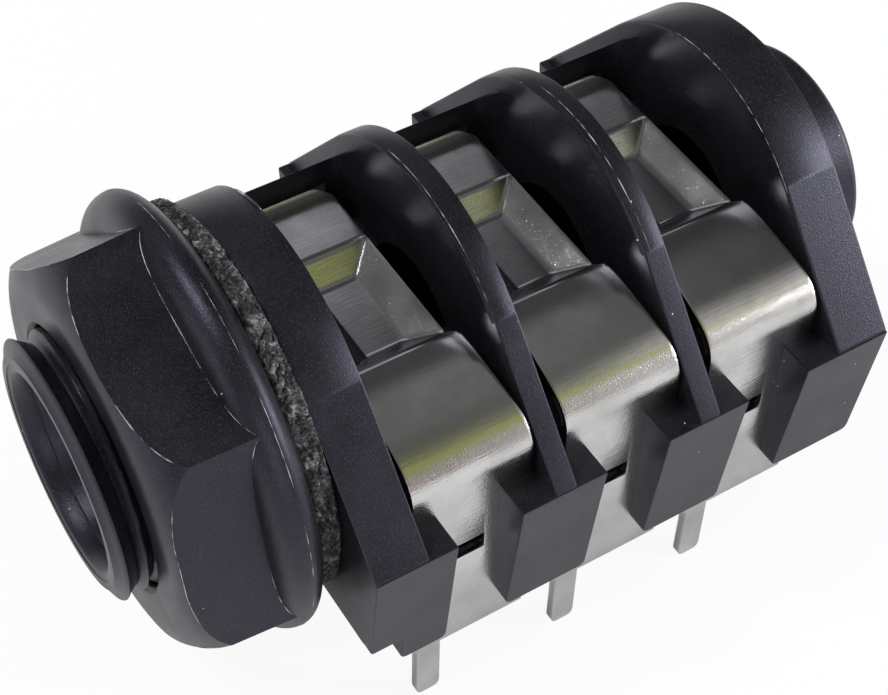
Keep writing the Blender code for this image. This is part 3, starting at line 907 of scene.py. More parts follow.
@dataclass(frozen=True)
class Dress:
    """What a finished piece wears and what it stands for."""

    material: bpy.types.Material
    slot: str
    body: str = "socket"
    stands_for: tuple[str, ...] = ()

    def show(self, name: str, mesh: bpy.types.Mesh, ride: bool = True) -> bpy.types.Object:
        """Makes the piece.

        Args:
            name: the piece's name.
            mesh: its mesh, in the frame's places.
            ride: False for a piece that is left unattached to any body.

        Returns:
            The piece.
        """
        mesh.materials.append(self.material)
        piece = bpy.data.objects.new(name, mesh)
        bpy.context.scene.collection.objects.link(piece)
        if self.stands_for:
            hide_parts(*self.stands_for)
        if ride:
            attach(piece, self.body)
        LOG.info("%s: %d faces on %s", name, len(mesh.polygons), self.body)
        return piece

    def show_even(self, name: str, mesh: bpy.types.Mesh) -> bpy.types.Object:
        """Makes a moulded piece whose flat faces stay flat in the light.

        Args:
            name: the piece's name.
            mesh: its mesh, in the frame's places.

        Returns:
            The piece.
        """
        piece = self.show(name, mesh)
        even = piece.modifiers.new("even_shading", "WEIGHTED_NORMAL")
        even.keep_sharp = True
        return piece


# The moulded housing


@dataclass
class MouldedHousing:
    """One nylon moulding: threaded bush, flanges, ribs, feet, roof, bore and rear boss."""

    layout: Layout
    rib_radius: float = 8.0 * MM
    band_radius: float = 7.97 * MM
    band_inner: float = 7.96 * MM
    flange_radius: float = 7.93 * MM
    half_width: float = 10.76 * MM
    side_draft: float = 0.74 * MM
    shoulder: float = 8.85 * MM
    # How far the walls' own sides stay inside the feet and cheeks that cover them, across and down.
    tuck_low: float = 0.3 * MM
    tuck_side: Point = (0.45 * MM, 0.6 * MM)
    tuck_top: float = 0.02 * MM
    foot_bottom: float = 1.65 * MM
    flange_bottom: float = 3.4 * MM
    web_bottom: float = 1.95 * MM
    rim_band: float = 1.0 * MM
    rim_step: float = 0.12 * MM
    band_fade: float = 30.0
    band_power: float = 0.6
    foot_corner: float = 0.4 * MM
    first_foot: Span = (1.45 * MM, 3.6 * MM)
    foot_ahead: Span = (1.53 * MM, 0.48 * MM)
    rear_ahead: Span = (1.6 * MM, 0.45 * MM)
    foot_behind: float = 1.4 * MM
    foot_gap: float = -0.08 * MM
    core_top: float = 10.9 * MM
    core_edge: float = 0.8 * MM
    shelf_top: float = 9.3 * MM
    bore_radius: float = 3.25 * MM
    bore_wall: float = 1.25 * MM
    roof_radius: float = 7.25 * MM
    roof_inner: float = 6.45 * MM
    roof_near: float = 5.2 * MM
    roof_edge: float = 10.9 * MM
    roof_fillet: float = 1.1 * MM
    sink: float = 0.03 * MM
    boss_radius: float = 5.15 * MM
    boss_length: float = 3.0 * MM
    boss_rim: float = 0.4 * MM
    boss_end_wall: float = 1.2 * MM
    overlap: float = 0.2 * MM
    edge: float = 0.09 * MM
    arch_steps: int = 72

    def side_angle(self, radius: float) -> float:
        """Works out where a straight side leaves an arch.

        Args:
            radius: the arch's radius.

        Returns:
            Angle about the bore, in degrees.
        """
        rise = self.shoulder - self.layout.axis
        reach = math.hypot(self.half_width, rise)
        return math.degrees(math.atan2(rise, self.half_width) + math.acos(radius / reach))

    def arch(self, radius: float, bottom: float) -> list[Point]:
        """Outline of a flange or rib.

        Args:
            radius: the arch's radius about the bore.
            bottom: height of its flat bottom.

        Returns:
            Points in X and Z.
        """
        angle = self.side_angle(radius)
        top = arc((0.0, self.layout.axis), radius, angle, 180 - angle, self.arch_steps)
        inner = self.layout.plate_face + self.layout.clearance
        right = [
            (inner + self.tuck_low, bottom),
            (self.half_width - self.tuck_side[0], self.shoulder - self.tuck_side[1]),
            (self.half_width - self.tuck_top, self.shoulder + self.tuck_top),
        ]
        return right + top + [(-x, z) for x, z in reversed(right)]

    def cheek(self, outline: Sequence[Point], side: int) -> bpy.types.Mesh:
        """A foot or cheek whose outer face leans in towards the board.

        Args:
            outline: points in Y and Z.
            side: 1 for +X, -1 for -X.

        Returns:
            A closed mesh.
        """
        lean = self.side_draft / (self.shoulder - self.foot_bottom)
        inner_x = self.layout.plate_face + self.foot_gap
        form = bmesh.new()
        inner = [form.verts.new((side * inner_x, y, z)) for y, z in outline]
        outer = [
            form.verts.new((side * (self.half_width - lean * (self.shoulder - z)), y, z))
            for y, z in outline
        ]
        form.faces.new(inner)
        form.faces.new(list(reversed(outer)))
        for i in range(len(outline)):
            j = (i + 1) % len(outline)
            form.faces.new((inner[j], inner[i], outer[i], outer[j]))
        soften(form, self.edge * 0.8, steps=2, corner=50.0)
        return to_mesh(form)

    def foot_outline(self, front: float, rear: float) -> list[Point]:
        """Outline of a foot.

        Args:
            front: the foot's first Y.
            rear: its last Y.

        Returns:
            Points in Y and Z.
        """
        top, low = self.shoulder, self.foot_bottom
        front_corner = fillet_corner((front, top), (front, low), (rear, low), self.foot_corner)
        rear_corner = fillet_corner((front, low), (rear, low), (rear, top), self.foot_corner)
        return [(front, top)] + front_corner + rear_corner + [(rear, top)]

    def front_outline(self) -> list[Point]:
        """Outline of the front flange's side with the first foot, which hangs lower behind it.

        Returns:
            Points in Y and Z.
        """
        top, low, flange = self.shoulder, self.foot_bottom, self.flange_bottom
        front, rear = self.first_foot
        nose = fillet_corner((0, top), (0, flange), (front, flange), self.foot_corner / 2)
        front_corner = fillet_corner((front, flange), (front, low), (rear, low), self.foot_corner)
        rear_corner = fillet_corner((front, low), (rear, low), (rear, top), self.foot_corner)
        return [(0, top)] + nose + [(front, flange)] + front_corner + rear_corner + [(rear, top)]

    @staticmethod
    def even(start: float, end: float, steps: int) -> list[float]:
        """Evenly spaced angles, without the two ends."""
        return [start + (end - start) * i / steps for i in range(1, steps)]

    def band_inside(self, turn: float) -> Point:
        """Inner edge of a rib's raised band, which runs out to nothing at both ends.

        Args:
            turn: angle about the bore, in degrees.

        Returns:
            Place in X and Z.
        """
        start = self.side_angle(self.rib_radius)
        to_end = min(turn - start, 180 - start - turn)
        width = self.rim_band * min(1.0, max(0.0, to_end) / self.band_fade) ** self.band_power
        reach = self.band_inner - width
        angle = math.radians(turn)
        return (reach * math.cos(angle), self.layout.axis + reach * math.sin(angle))

    def walls(self) -> list[bpy.types.Mesh]:
        """Flanges, ribs, their raised bands and the web under the front flange.

        Returns:
            Closed meshes.
        """
        lay = self.layout
        rear = self.arch(self.flange_radius, self.web_bottom)
        side = lay.plate_face + lay.clearance + self.overlap
        top = self.flange_bottom + self.overlap
        web = [(-side, self.web_bottom), (side, self.web_bottom), (side, top), (-side, top)]
        made = [
            prism(self.arch(self.flange_radius, self.flange_bottom), 0, lay.front_flange, self.edge),
            prism(web, self.first_foot[0], lay.front_flange, self.edge / 2),
            prism(rear, lay.rear_start, lay.body_length, self.edge * 1.6),
        ]
        wall = 180 - self.side_angle(self.rib_radius)
        for k in range(1, lay.bays):
            front = lay.rib_front(k)
            rib = self.arch(self.rib_radius, self.web_bottom)
            made.append(prism(rib, front, front + lay.rib_width, self.edge))
            outer = arc((0, lay.axis), self.band_radius, 180 - wall, wall, self.arch_steps)
            band = outer + [self.band_inside(turn) for turn in self.even(wall, 180 - wall, self.arch_steps)]
            made.append(prism(band, front - self.rim_step, front + self.overlap, self.edge * 0.7))
        return made

    def feet(self) -> list[bpy.types.Mesh]:
        """The feet and cheeks on both sides.

        Returns:
            Closed meshes.
        """
        lay = self.layout
        made = []
        for side, ahead, rear_ahead in zip((1, -1), self.foot_ahead, self.rear_ahead):
            made.append(self.cheek(self.front_outline(), side))
            for k in range(1, lay.bays):
                front = lay.rib_front(k)
                outline = self.foot_outline(front - ahead, front + lay.rib_width + self.foot_behind)
                made.append(self.cheek(outline, side))
            made.append(self.cheek(self.foot_outline(lay.rear_start - rear_ahead, lay.body_length), side))
        return made

    def flank(self, radius: float, height: float) -> float:
        """Place across of the roof's straight flank, at a height."""
        turn = math.radians(180 - self.side_angle(self.rib_radius))
        return (radius - (height - self.layout.axis) * math.sin(turn)) / math.cos(turn)

    def crown(self, radius: float, near: float) -> list[Point]:
        """Outline of the roof's arc from its near face, and of its flank down to the edge.

        Args:
            radius: the arc's radius.
            near: distance of the near face from the bore's axis.

        Returns:
            Points in X and Z.
        """
        wall = 180 - self.side_angle(self.rib_radius)
        start = math.degrees(math.acos(-near / radius))
        top = arc((0.0, self.layout.axis), radius, start, wall, 12)
        return top + [(self.flank(radius, self.roof_edge), self.roof_edge)]

    def roof(self) -> list[bpy.types.Mesh]:
        """The roof over the far half of the bays, with its fillet against each wall behind.

        Returns:
            Closed meshes.
        """
        lay = self.layout
        turn = math.radians(180 - self.side_angle(self.rib_radius))
        rise = (self.roof_inner + self.roof_near * math.cos(turn)) / math.sin(turn)
        inner = self.flank(self.roof_inner, self.roof_edge)
        under = [(inner, self.roof_edge), (-self.roof_near, lay.axis + rise)]
        outline = self.crown(self.roof_radius, self.roof_near) + under
        made = [prism(outline, lay.front_flange - self.overlap, lay.rear_start + self.overlap, self.edge)]
        steps = 12
        for k in range(1, lay.bays + 1):
            form = bmesh.new()
            loops = []
            for i in range(steps + 1):
                sweep = math.radians(90 * i / steps)
                y = lay.rib_front(k) + self.sink - self.roof_fillet * (1 - math.sin(sweep))
                near = self.roof_near - self.sink - self.roof_fillet * (1 - math.cos(sweep))
                section = self.crown(self.roof_radius - self.sink, near) + [(-near, self.roof_edge)]
                loops.append([form.verts.new((x, y, z)) for x, z in section])
            for low, high in zip(loops, loops[1:]):
                for i in range(len(low)):
                    j = (i + 1) % len(low)
                    form.faces.new((low[i], low[j], high[j], high[i]))
            form.faces.new(loops[0])
            form.faces.new(loops[-1])
            made.append(to_mesh(form))
        return made

    def core(self) -> bpy.types.Mesh:
        """The inner body between the side plates.

        Returns:
            A closed mesh.
        """
        lay = self.layout
        side = lay.plate_face - lay.sheet - lay.clearance
        wall = self.bore_radius + self.bore_wall
        outline = [
            (-side, 0), (side, 0),
            (side, self.core_top - self.core_edge), (side - self.core_edge, self.core_top),
            (-wall, self.core_top), (-wall, self.shelf_top),
            (self.core_edge - side, self.shelf_top), (-side, self.shelf_top - self.core_edge),
        ]
        return prism(outline, lay.front_flange - self.overlap, lay.body_length - self.overlap)

    def boss(self) -> bpy.types.Mesh:
        """The round boss on the rear, with a rounded rim.

        Returns:
            A closed mesh.
        """
        start = self.layout.body_length - self.overlap
        end = self.layout.body_length + self.boss_length
        rounded = arc((self.boss_radius - self.boss_rim, end - self.boss_rim), self.boss_rim, 0, 90, 8)
        return turned([(0, start), (self.boss_radius, start)] + rounded + [(0, end)], self.layout.axis)

    def bore(self) -> bpy.types.Mesh:
        """What is cut away for the plug behind the panel face.

        Returns:
            A closed mesh.
        """
        start = -self.overlap
        end = self.layout.body_length + self.boss_length - self.boss_end_wall
        hole = [(0, start), (self.bore_radius, start), (self.bore_radius, end), (0, end)]
        return turned(hole, self.layout.axis, 96)

    def build(self, nylon: Dress) -> bpy.types.Object:
        """Joins the body, adds the threaded bush and shows the housing.

        Args:
            nylon: the dress of the housing.

        Returns:
            The piece.
        """
        body = Moulding(self.core())
        body.use(Join.UNION, self.walls() + self.feet() + self.roof() + [self.boss()])
        body.use(Join.DIFFERENCE, [self.bore()])
        bush = ThreadedBush(self.layout).mesh()
        mesh = gather([body.mesh("moulded_body"), bush], "moulded_housing")
        return nylon.show_even("moulded_housing", shade(self.layout.settle(mesh)))


@dataclass
class ThreadedBush:
    """The bush in front of the panel face, with its moulded thread and the plug's lead-in."""

    layout: Layout
    crest: float = 5.47 * MM
    root: float = 5.08 * MM
    pitch: float = 1.0 * MM
    start: float = -7.02 * MM
    fade: float = 0.3 * MM
    first_crest: float = -6.80 * MM
    crest_share: float = 0.24
    root_share: float = 0.90
    bore_radius: float = 3.26 * MM
    # Radius and distance behind the bush's end, both in mm, from the mouth over the rim to the thread.
    rim_mm: tuple[Point, ...] = (
        (4.20, 0.10), (4.25, 0.06), (4.55, 0.05), (4.58, 0.0), (4.90, 0.0), (4.96, 0.06), (5.30, 0.22),
        (5.46, 0.29), (5.50, 0.35), (5.46, 0.42), (5.36, 0.52), (5.14, 0.84), (5.08, 0.90),
    )
    # The same from the bore out over the lead-in's steps to the mouth.
    lead_in_mm: tuple[Point, ...] = (
        (3.26, 2.90), (3.27, 2.50), (3.34, 2.30), (3.74, 0.95), (3.78, 0.85), (3.92, 0.80), (3.98, 0.50),
        (4.14, 0.18),
    )
    sunk: float = 0.2 * MM
    set_back: float = 0.13 * MM
    row_step: float = 0.05 * MM
    steps: int = 180

    def height(self, y: float, turn: float) -> float:
        """Radius of the thread, whose crests and roots are narrow flats.

        Args:
            y: place along the bush.
            turn: angle about the bore, in radians.

        Returns:
            The radius there.
        """
        along = (y - self.first_crest) / self.pitch - turn / math.tau
        away = abs(along - round(along)) * 2
        ridge = min(1.0, max(0.0, (self.root_share - away) / (self.root_share - self.crest_share)))
        grown = min(1.0, max(0.0, (y - self.start) / self.fade))
        return self.root + (self.crest - self.root) * ridge * grown

    def mesh(self) -> bpy.types.Mesh:
        """Builds the closed bush, thread, rim and lead-in in one skin.

        Returns:
            A closed mesh.
        """
        front = -self.layout.bush_length + self.set_back
        rim = [(r * MM, front + y * MM) for r, y in self.rim_mm]
        rows = int(round((self.sunk - self.start) / self.row_step))
        threaded = [self.start + self.row_step * i for i in range(1, rows + 1)]
        inside = [(self.bore_radius, self.sunk)] + [(r * MM, front + y * MM) for r, y in self.lead_in_mm]
        form = bmesh.new()
        loops = []
        for i in range(self.steps):
            turn = math.tau * i / self.steps
            profile = rim + [(self.height(y, turn), y) for y in threaded] + inside
            c, s = math.cos(turn), math.sin(turn)
            loops.append([form.verts.new((r * c, y, self.layout.axis + r * s)) for r, y in profile])
        close_round(form, loops)
        return to_mesh(form)


# Nut and washer


@dataclass
class HexNut:
    """The moulded nut: a hexagon with a round nose, and a domed collar behind it."""

    layout: Layout
    across_flats: float = 16.0 * MM
    length: float = 5.48 * MM
    draft: float = 0.6 * MM
    nose: float = 2.35 * MM
    lip: float = 0.3 * MM
    turn: float = 42.0
    collar_radius: float = 9.335 * MM
    collar_height: float = 1.35 * MM
    collar_front: float = 1.15 * MM
    collar_rear: float = 0.85 * MM
    hole: float = 5.55 * MM
    rear: float = -0.98 * MM
    mouth: float = 0.18 * MM
    flash: float = 0.026 * MM
    flash_reach: float = 29.6
    flash_seed: int = 7
    flash_run: tuple[int, int] = (4, 16)
    flash_share: Span = (0.5, 1.0)
    plain_gap: int = 14
    flashy_gap: int = 1
    flashy_facet: int = 0
    parting_run: Span = (6.0, 26.0)
    parting_gap: Span = (2.0, 18.0)
    parting_share: Span = (0.25, 0.55)
    bar_overlap: float = 0.1 * MM
    sharp: float = 24.0

    @property
    def front(self) -> float:
        """Y of the nut's front face."""
        return self.rear - self.length

    @property
    def middle(self) -> float:
        """Y of the collar's widest ring."""
        return self.rear - self.collar_rear

    @property
    def corner(self) -> float:
        """Radius to the hexagon's corners."""
        return self.across_flats / 2 / math.cos(math.radians(30))

    @property
    def bar(self) -> Span:
        """First and last Y of the hexagonal bar that the nut is cut from."""
        return self.front - self.length / 4, self.middle + self.bar_overlap

    def flat(self, y: float) -> float:
        """Distance from the axis to a flat, which leans in towards the front.

        Args:
            y: place along the nut.

        Returns:
            The distance there.
        """
        start, end = self.bar
        share = (y - start) / (end - start)
        return (self.across_flats - self.draft * (1 - share)) / 2

    def nose_radius(self, y: float) -> float:
        """Radius of the round nose at a place along the nut."""
        depth = min(self.nose, max(0.0, y - self.front))
        return self.corner - self.nose + math.sqrt(self.nose ** 2 - (self.nose - depth) ** 2)

    def collar_ring(self, angle: float) -> Point:
        """One ring of the collar's dome.

        Args:
            angle: from -90 degrees in front to 90 behind.

        Returns:
            The ring's radius and Y.
        """
        reach = self.collar_rear if angle > 0 else self.collar_front
        turn = math.radians(angle)
        spine = self.collar_radius - self.collar_height
        return (spine + self.collar_height * math.cos(turn), self.middle + reach * math.sin(turn))

    def hexagon(self) -> bpy.types.Mesh:
        """The plain hexagonal bar, drafted towards its front.

        Returns:
            A closed mesh.
        """
        form = bmesh.new()
        loops = []
        for y in self.bar:
            reach = self.flat(y) / math.cos(math.radians(30))
            ring = arc((0.0, self.layout.axis), reach, self.turn, self.turn + 300, 5)
            loops.append([form.verts.new((x, y, z)) for x, z in ring])
        for i in range(6):
            j = (i + 1) % 6
            form.faces.new((loops[0][i], loops[0][j], loops[1][j], loops[1][i]))
        form.faces.new(loops[0])
        form.faces.new(loops[1])
        return to_mesh(form)

    def blank(self) -> bpy.types.Mesh:
        """The turned blank that rounds the nose.

        Returns:
            A closed mesh.
        """
        spine = self.corner - self.nose
        rounded = arc((spine, self.front + self.nose), self.nose, -90, 0, 18)
        profile = [(0, self.front), (spine - self.lip, self.front)] + rounded
        return turned(profile + [(self.corner, self.middle), (0, self.middle)], self.layout.axis)

    def collar(self) -> bpy.types.Mesh:
        """The domed collar."""
        dome = [self.collar_ring(a) for a in range(90, -91, -9)]
        return turned([(0, self.rear)] + dome + [(0, self.middle - self.collar_front)], self.layout.axis)

    def bore(self) -> bpy.types.Mesh:
        """What is cut away for the bush, with a small chamfer in front.

        Returns:
            A closed mesh.
        """
        ahead, behind = self.front - MM, self.rear + MM
        return turned([
            (0, ahead), (self.hole + self.mouth, ahead), (self.hole + self.mouth, self.front),
            (self.hole, self.front + self.mouth), (self.hole, behind), (0, behind),
        ], self.layout.axis)

    def ring_line(self, edge: Callable[[float], float], start: float, end: float, facet: int) -> list[Vector]:
        """Line where a turned surface meets one flat.

        Args:
            edge: radius of the turned surface at a Y.
            start: Y at the middle of the flat.
            end: Y at its corners.
            facet: the flat's number.

        Returns:
            Points from one corner to the other.
        """
        middle = math.radians(self.turn + 30 + 60 * facet)
        half = []
        steps = 26
        edge_angle = math.radians(self.flash_reach)
        for i in range(steps + 1):
            y = start + (end - start) * (i / steps) ** 2
            radius, flat = edge(y), self.flat(y)
            if radius < flat:
                continue
            away = math.acos(min(1.0, flat / radius))
            if away <= edge_angle:
                half.append((away, radius, y))
        line = [(middle - a, r, y) for a, r, y in reversed(half)] + [(middle + a, r, y) for a, r, y in half]
        return [Vector((r * math.cos(t), y, self.layout.axis + r * math.sin(t))) for t, r, y in line]

    def flash_lines(self) -> list[bpy.types.Mesh]:
        """Thin flash along the nose's and the collar's edge on each flat, broken as moulds leave it.

        Returns:
            The stretches of flash, closed meshes.
        """
        luck = random.Random(self.flash_seed)
        made = []
        spine = self.collar_radius - self.collar_height

        def dome(y: float) -> float:
            """Radius of the collar's front at a Y."""
            share = min(1.0, max(0.0, (self.middle - y) / self.collar_front))
            return spine + self.collar_height * math.sqrt(1 - share ** 2)

        for facet in range(6):
            nose = self.ring_line(self.nose_radius, self.front, self.front + self.nose, facet)
            base = self.ring_line(dome, self.middle - self.collar_front, self.middle, facet)
            gap = self.flashy_gap if facet == self.flashy_facet else self.plain_gap
            for line in (nose, base):
                at = luck.randint(0, gap)
                while at < len(line) - 3:
                    run = luck.randint(*self.flash_run)
                    piece = line[at:at + run]
                    if len(piece) > 3:
                        made.append(bead(piece, self.flash * luck.uniform(*self.flash_share)))
                    at += run + luck.randint(0, gap)
        return made + self.parting_line(luck)

    def parting_line(self, luck: random.Random) -> list[bpy.types.Mesh]:
        """Flash round the collar's widest ring, where the mould parts.

        Args:
            luck: the seeded source of its breaks.

        Returns:
            The stretches of flash.
        """
        made = []
        angle = 0.0
        while angle < 350:
            run = luck.uniform(*self.parting_run)
            steps = int(run / 1.5) + 3
            ring = arc((0.0, self.layout.axis), self.collar_radius, angle, angle + run, steps)
            line = [Vector((x, self.middle, z)) for x, z in ring]
            made.append(bead(line, self.flash * luck.uniform(*self.parting_share)))
            angle += run + luck.uniform(*self.parting_gap)
        return made

    def build(self, nylon: Dress, flash: Dress) -> list[bpy.types.Object]:
        """Shows the nut and its flash.

        Args:
            nylon: the nut's dress.
            flash: the dress of the flash lines.

        Returns:
            The pieces.
        """
        shaped = Moulding(self.hexagon())
        shaped.use(Join.INTERSECT, [self.blank()])
        whole = Moulding(shaped.mesh("hexagon"))
        whole.use(Join.UNION, [self.collar()])
        whole.use(Join.DIFFERENCE, [self.bore()])
        nut = nylon.show_even("hex_nut", shade(self.layout.settle(whole.mesh("hex_nut")), self.sharp))
        lines = self.layout.settle(gather(self.flash_lines(), "nut_flash"))
        return [nut, flash.show("nut_flash", shade(lines))]


@dataclass
class FibreWasher:
    """The fibre washer under the nut, with the ragged edge of a punched sheet."""

    layout: Layout
    hole: float = 5.62 * MM
    radius: float = 8.3 * MM
    front: float = -0.97 * MM
    rear: float = -0.02 * MM
    face: float = 0.7 * MM
    corner: Point = (0.12 * MM, 0.1 * MM)
    torn_band: float = 0.5 * MM
    ragged: float = 0.12 * MM
    crack: float = 0.16 * MM
    tear: float = 0.9 * MM
    tear_share: float = 0.7
    fray: float = 0.14 * MM
    fray_share: float = 0.4
    crack_pitch: float = 0.36 * MM
    crack_narrow: float = 5.0
    across: int = 18
    steps: int = 720

    def outline(self) -> list[Point]:
        """The washer's section, with many rows over its edge.

        Returns:
            Points of radius and Y.
        """
        start, end = self.front + self.corner[1], self.rear - self.corner[1]
        shoulder = self.radius - self.corner[0]
        rim = [(self.radius, start + (end - start) * i / self.across) for i in range(self.across + 1)]
        face = self.radius - self.face
        front = [(self.hole, self.rear), (self.hole, self.front), (face, self.front), (shoulder, self.front)]
        return front + rim + [(shoulder, self.rear), (face, self.rear)]

    def torn(self, radius: float, spot: Vector) -> float:
        """Radius once the edge is torn.

        Args:
            radius: the plain radius.
            spot: the place, from the washer's axis.

        Returns:
            The torn radius.
        """
        if radius <= self.radius - self.torn_band:
            return radius
        tears = noise.noise(spot / self.tear) * self.tear_share
        frays = noise.noise(spot / self.fray) * self.fray_share
        cracks = max(0.0, 1 - self.crack_narrow * abs(noise.noise(spot / self.crack_pitch)))
        return radius + self.ragged * (tears + frays) - self.crack * cracks

    def build(self, fibre: Dress) -> bpy.types.Object:
        """Shows the washer.

        Args:
            fibre: its dress.

        Returns:
            The piece.
        """
        profile = self.outline()
        form = bmesh.new()
        loops = []
        for i in range(self.steps):
            turn = math.tau * i / self.steps
            c, s = math.cos(turn), math.sin(turn)
            torn = [(self.torn(r, Vector((r * c, y, r * s))), y) for r, y in profile]
            loops.append([form.verts.new((r * c, y, self.layout.axis + r * s)) for r, y in torn])
        close_round(form, loops)
        return fibre.show("fibre_washer", shade(self.layout.settle(to_mesh(form, "fibre_washer")), 60.0))


# Contacts


class Pole(Enum):
    """The plug's pole that a bay serves, with the bay's number from the front."""

    SLEEVE = 0
    RING = 1
    TIP = 2

    @property
    def word(self) -> str:
        """The pole's name in piece and body names."""
        return self.name.lower()


@dataclass
class PressedStrip:
    """What the two kinds of contact share: pin, side plate with its slot, and a formed strip above."""

    layout: Layout
    pole: Pole
    pin_inset: float = 0.22 * MM
    pin_width: float = 1.12 * MM
    pin_length: float = 3.4 * MM
    pin_tip: float = 0.4 * MM
    # Height above the pin's end and distance in from its sides, as shares of pin_tip.
    pin_nose: tuple[Point, ...] = (
        (0.0, 0.95), (0.02, 0.72), (0.08, 0.5), (0.18, 0.32), (0.34, 0.16), (0.6, 0.05), (1.0, 0.0),
    )
    slot_start: float = 1.85 * MM
    slot_length: float = 1.45 * MM
    slot_bottom: float = 5.4 * MM
    slot_height: float = 0.9 * MM
    knots: tuple[int, ...] = (0, 2, 10, 14, 26, 42)
    pin_rows: Span = (-1.5 * MM, -0.05 * MM)
    foot_rows: tuple[float, ...] = (0.0, 1.8 * MM, 3.6 * MM)
    shoulder_row: float = 8.0 * MM
    off_centre: float = 0.4 * MM
    edge: float = 0.05 * MM
    level: float = 12.84 * MM
    rows: list[list[Vector]] = field(default_factory=list)
    holes: set[tuple[int, int]] = field(default_factory=set)

    @property
    def plate_front(self) -> float:
        """Y of the side plate's front edge in the first bay."""
        return self.layout.front_flange + self.layout.clearance

    @property
    def plate_rear(self) -> float:
        """Y of its rear edge."""
        return self.layout.first_rib - self.layout.clearance

    @property
    def centre(self) -> float:
        """Y of the tongue's middle line in the first bay."""
        return (self.plate_front + self.plate_rear) / 2 - self.off_centre

    def spread(self, places: Sequence[float]) -> list[float]:
        """Spreads the columns evenly between the knots.

        Args:
            places: Y of each knot.

        Returns:
            Y of every column.
        """
        made = []
        for k in range(len(places) - 1):
            count = self.knots[k + 1] - self.knots[k]
            made += [places[k] + (places[k + 1] - places[k]) * i / count for i in range(count)]
        return made + [places[-1]]

    def columns(self, inset: float = 0.0) -> list[float]:
        """Columns of the side plate.

        Args:
            inset: how far the pin's sides are drawn in.

        Returns:
            Y of every column.
        """
        pin = self.plate_front + self.pin_inset
        slot = self.plate_front + self.slot_start
        return self.spread([
            self.plate_front, pin + inset, pin + self.pin_width - inset,
            slot, slot + self.slot_length, self.plate_rear,
        ])

    def add_row(
        self, x: float, z: float, columns: Sequence[float], sink: Callable[[float], float] | None = None,
    ) -> None:
        """Adds one row of points across the strip.

        Args:
            x: place across the socket.
            z: height.
            columns: Y of each point.
            sink: how far the point at a Y is pressed down.
        """
        self.rows.append([Vector((x, y, z - (sink(y) if sink else 0.0))) for y in columns])

    def add_plate(self, side: int, top: float) -> None:
        """Adds the pin and the side plate.

        Args:
            side: 1 for +X, -1 for -X.
            top: height at which the bend starts.
        """
        x = side * self.layout.plate_face
        tip, long = self.pin_tip, self.pin_length
        for rise, inset in self.pin_nose:
            self.add_row(x, -long + tip * rise, self.columns(tip * inset))
        for z in self.pin_rows:
            self.add_row(x, z, self.columns())
        pin_rows = len(self.rows)
        last = self.knots[-1]
        outside = [j for j in range(last) if not self.knots[1] <= j < self.knots[2]]
        self.holes |= {(i, j) for i in range(pin_rows) for j in outside}
        slot_top = self.slot_bottom + self.slot_height
        for z in (*self.foot_rows, self.slot_bottom, slot_top, self.shoulder_row, top):
            self.add_row(x, z, self.columns())
        slot_row = pin_rows + 3
        self.holes |= {(slot_row, j) for j in range(self.knots[3], self.knots[4])}

    def add_bend(self, side: int, foot: float, radius: float, degrees: float, steps: int) -> Vector:
        """Adds the bend above the plate, which turns inwards over the socket.

        Args:
            side: 1 for +X, -1 for -X.
            foot: height of the bend's start.
            radius: its outer radius.
            degrees: how far it turns.
            steps: rows along it.

        Returns:
            The bend's end, with X and Z in the vector's X and Z.
        """
        end = Vector()
        for i in range(1, steps + 1):
            turn = math.radians(degrees * i / steps)
            x = side * (self.layout.plate_face - radius + radius * math.cos(turn))
            end = Vector((x, 0.0, foot + radius * math.sin(turn)))
            self.add_row(end.x, end.z, self.columns())
        return end

    def mesh(self, name: str, offset: float) -> bpy.types.Mesh:
        """Closes the rows into a sheet with thickness and rounded edges.

        Args:
            name: the mesh's name.
            offset: side that the thickness grows to, -1 or 1.

        Returns:
            The finished mesh, in the frame's places.
        """
        form = bmesh.new()
        grid = [[form.verts.new(p) for p in row] for row in self.rows]
        for i in range(len(grid) - 1):
            for j in range(len(grid[0]) - 1):
                if (i, j) not in self.holes:
                    form.faces.new((grid[i][j], grid[i][j + 1], grid[i + 1][j + 1], grid[i + 1][j]))
        loose = [vert for vert in form.verts if not vert.link_faces]
        bmesh.ops.delete(form, geom=loose, context="VERTS")
        plain = bpy.data.meshes.new(name)
        form.to_mesh(plain)
        form.free()

        def dress(passing: bpy.types.Object) -> None:
            """Adds the sheet's thickness and its rolled edges.

            Args:
                passing: the object that carries the plain sheet.
            """
            thick = passing.modifiers.new("sheet", "SOLIDIFY")
            thick.thickness = self.layout.sheet
            thick.offset = offset
            thick.use_even_offset = True
            rolled = passing.modifiers.new("rolled_edge", "BEVEL")
            rolled.width = self.edge
            rolled.segments = 2
            rolled.limit_method = "ANGLE"
            rolled.angle_limit = math.radians(60)

        made = shade(baked(plain, dress, name), 50.0)
        made.transform(Matrix.Translation((0.0, self.pole.value * self.layout.pitch, 0.0)))
        return self.layout.settle(made)


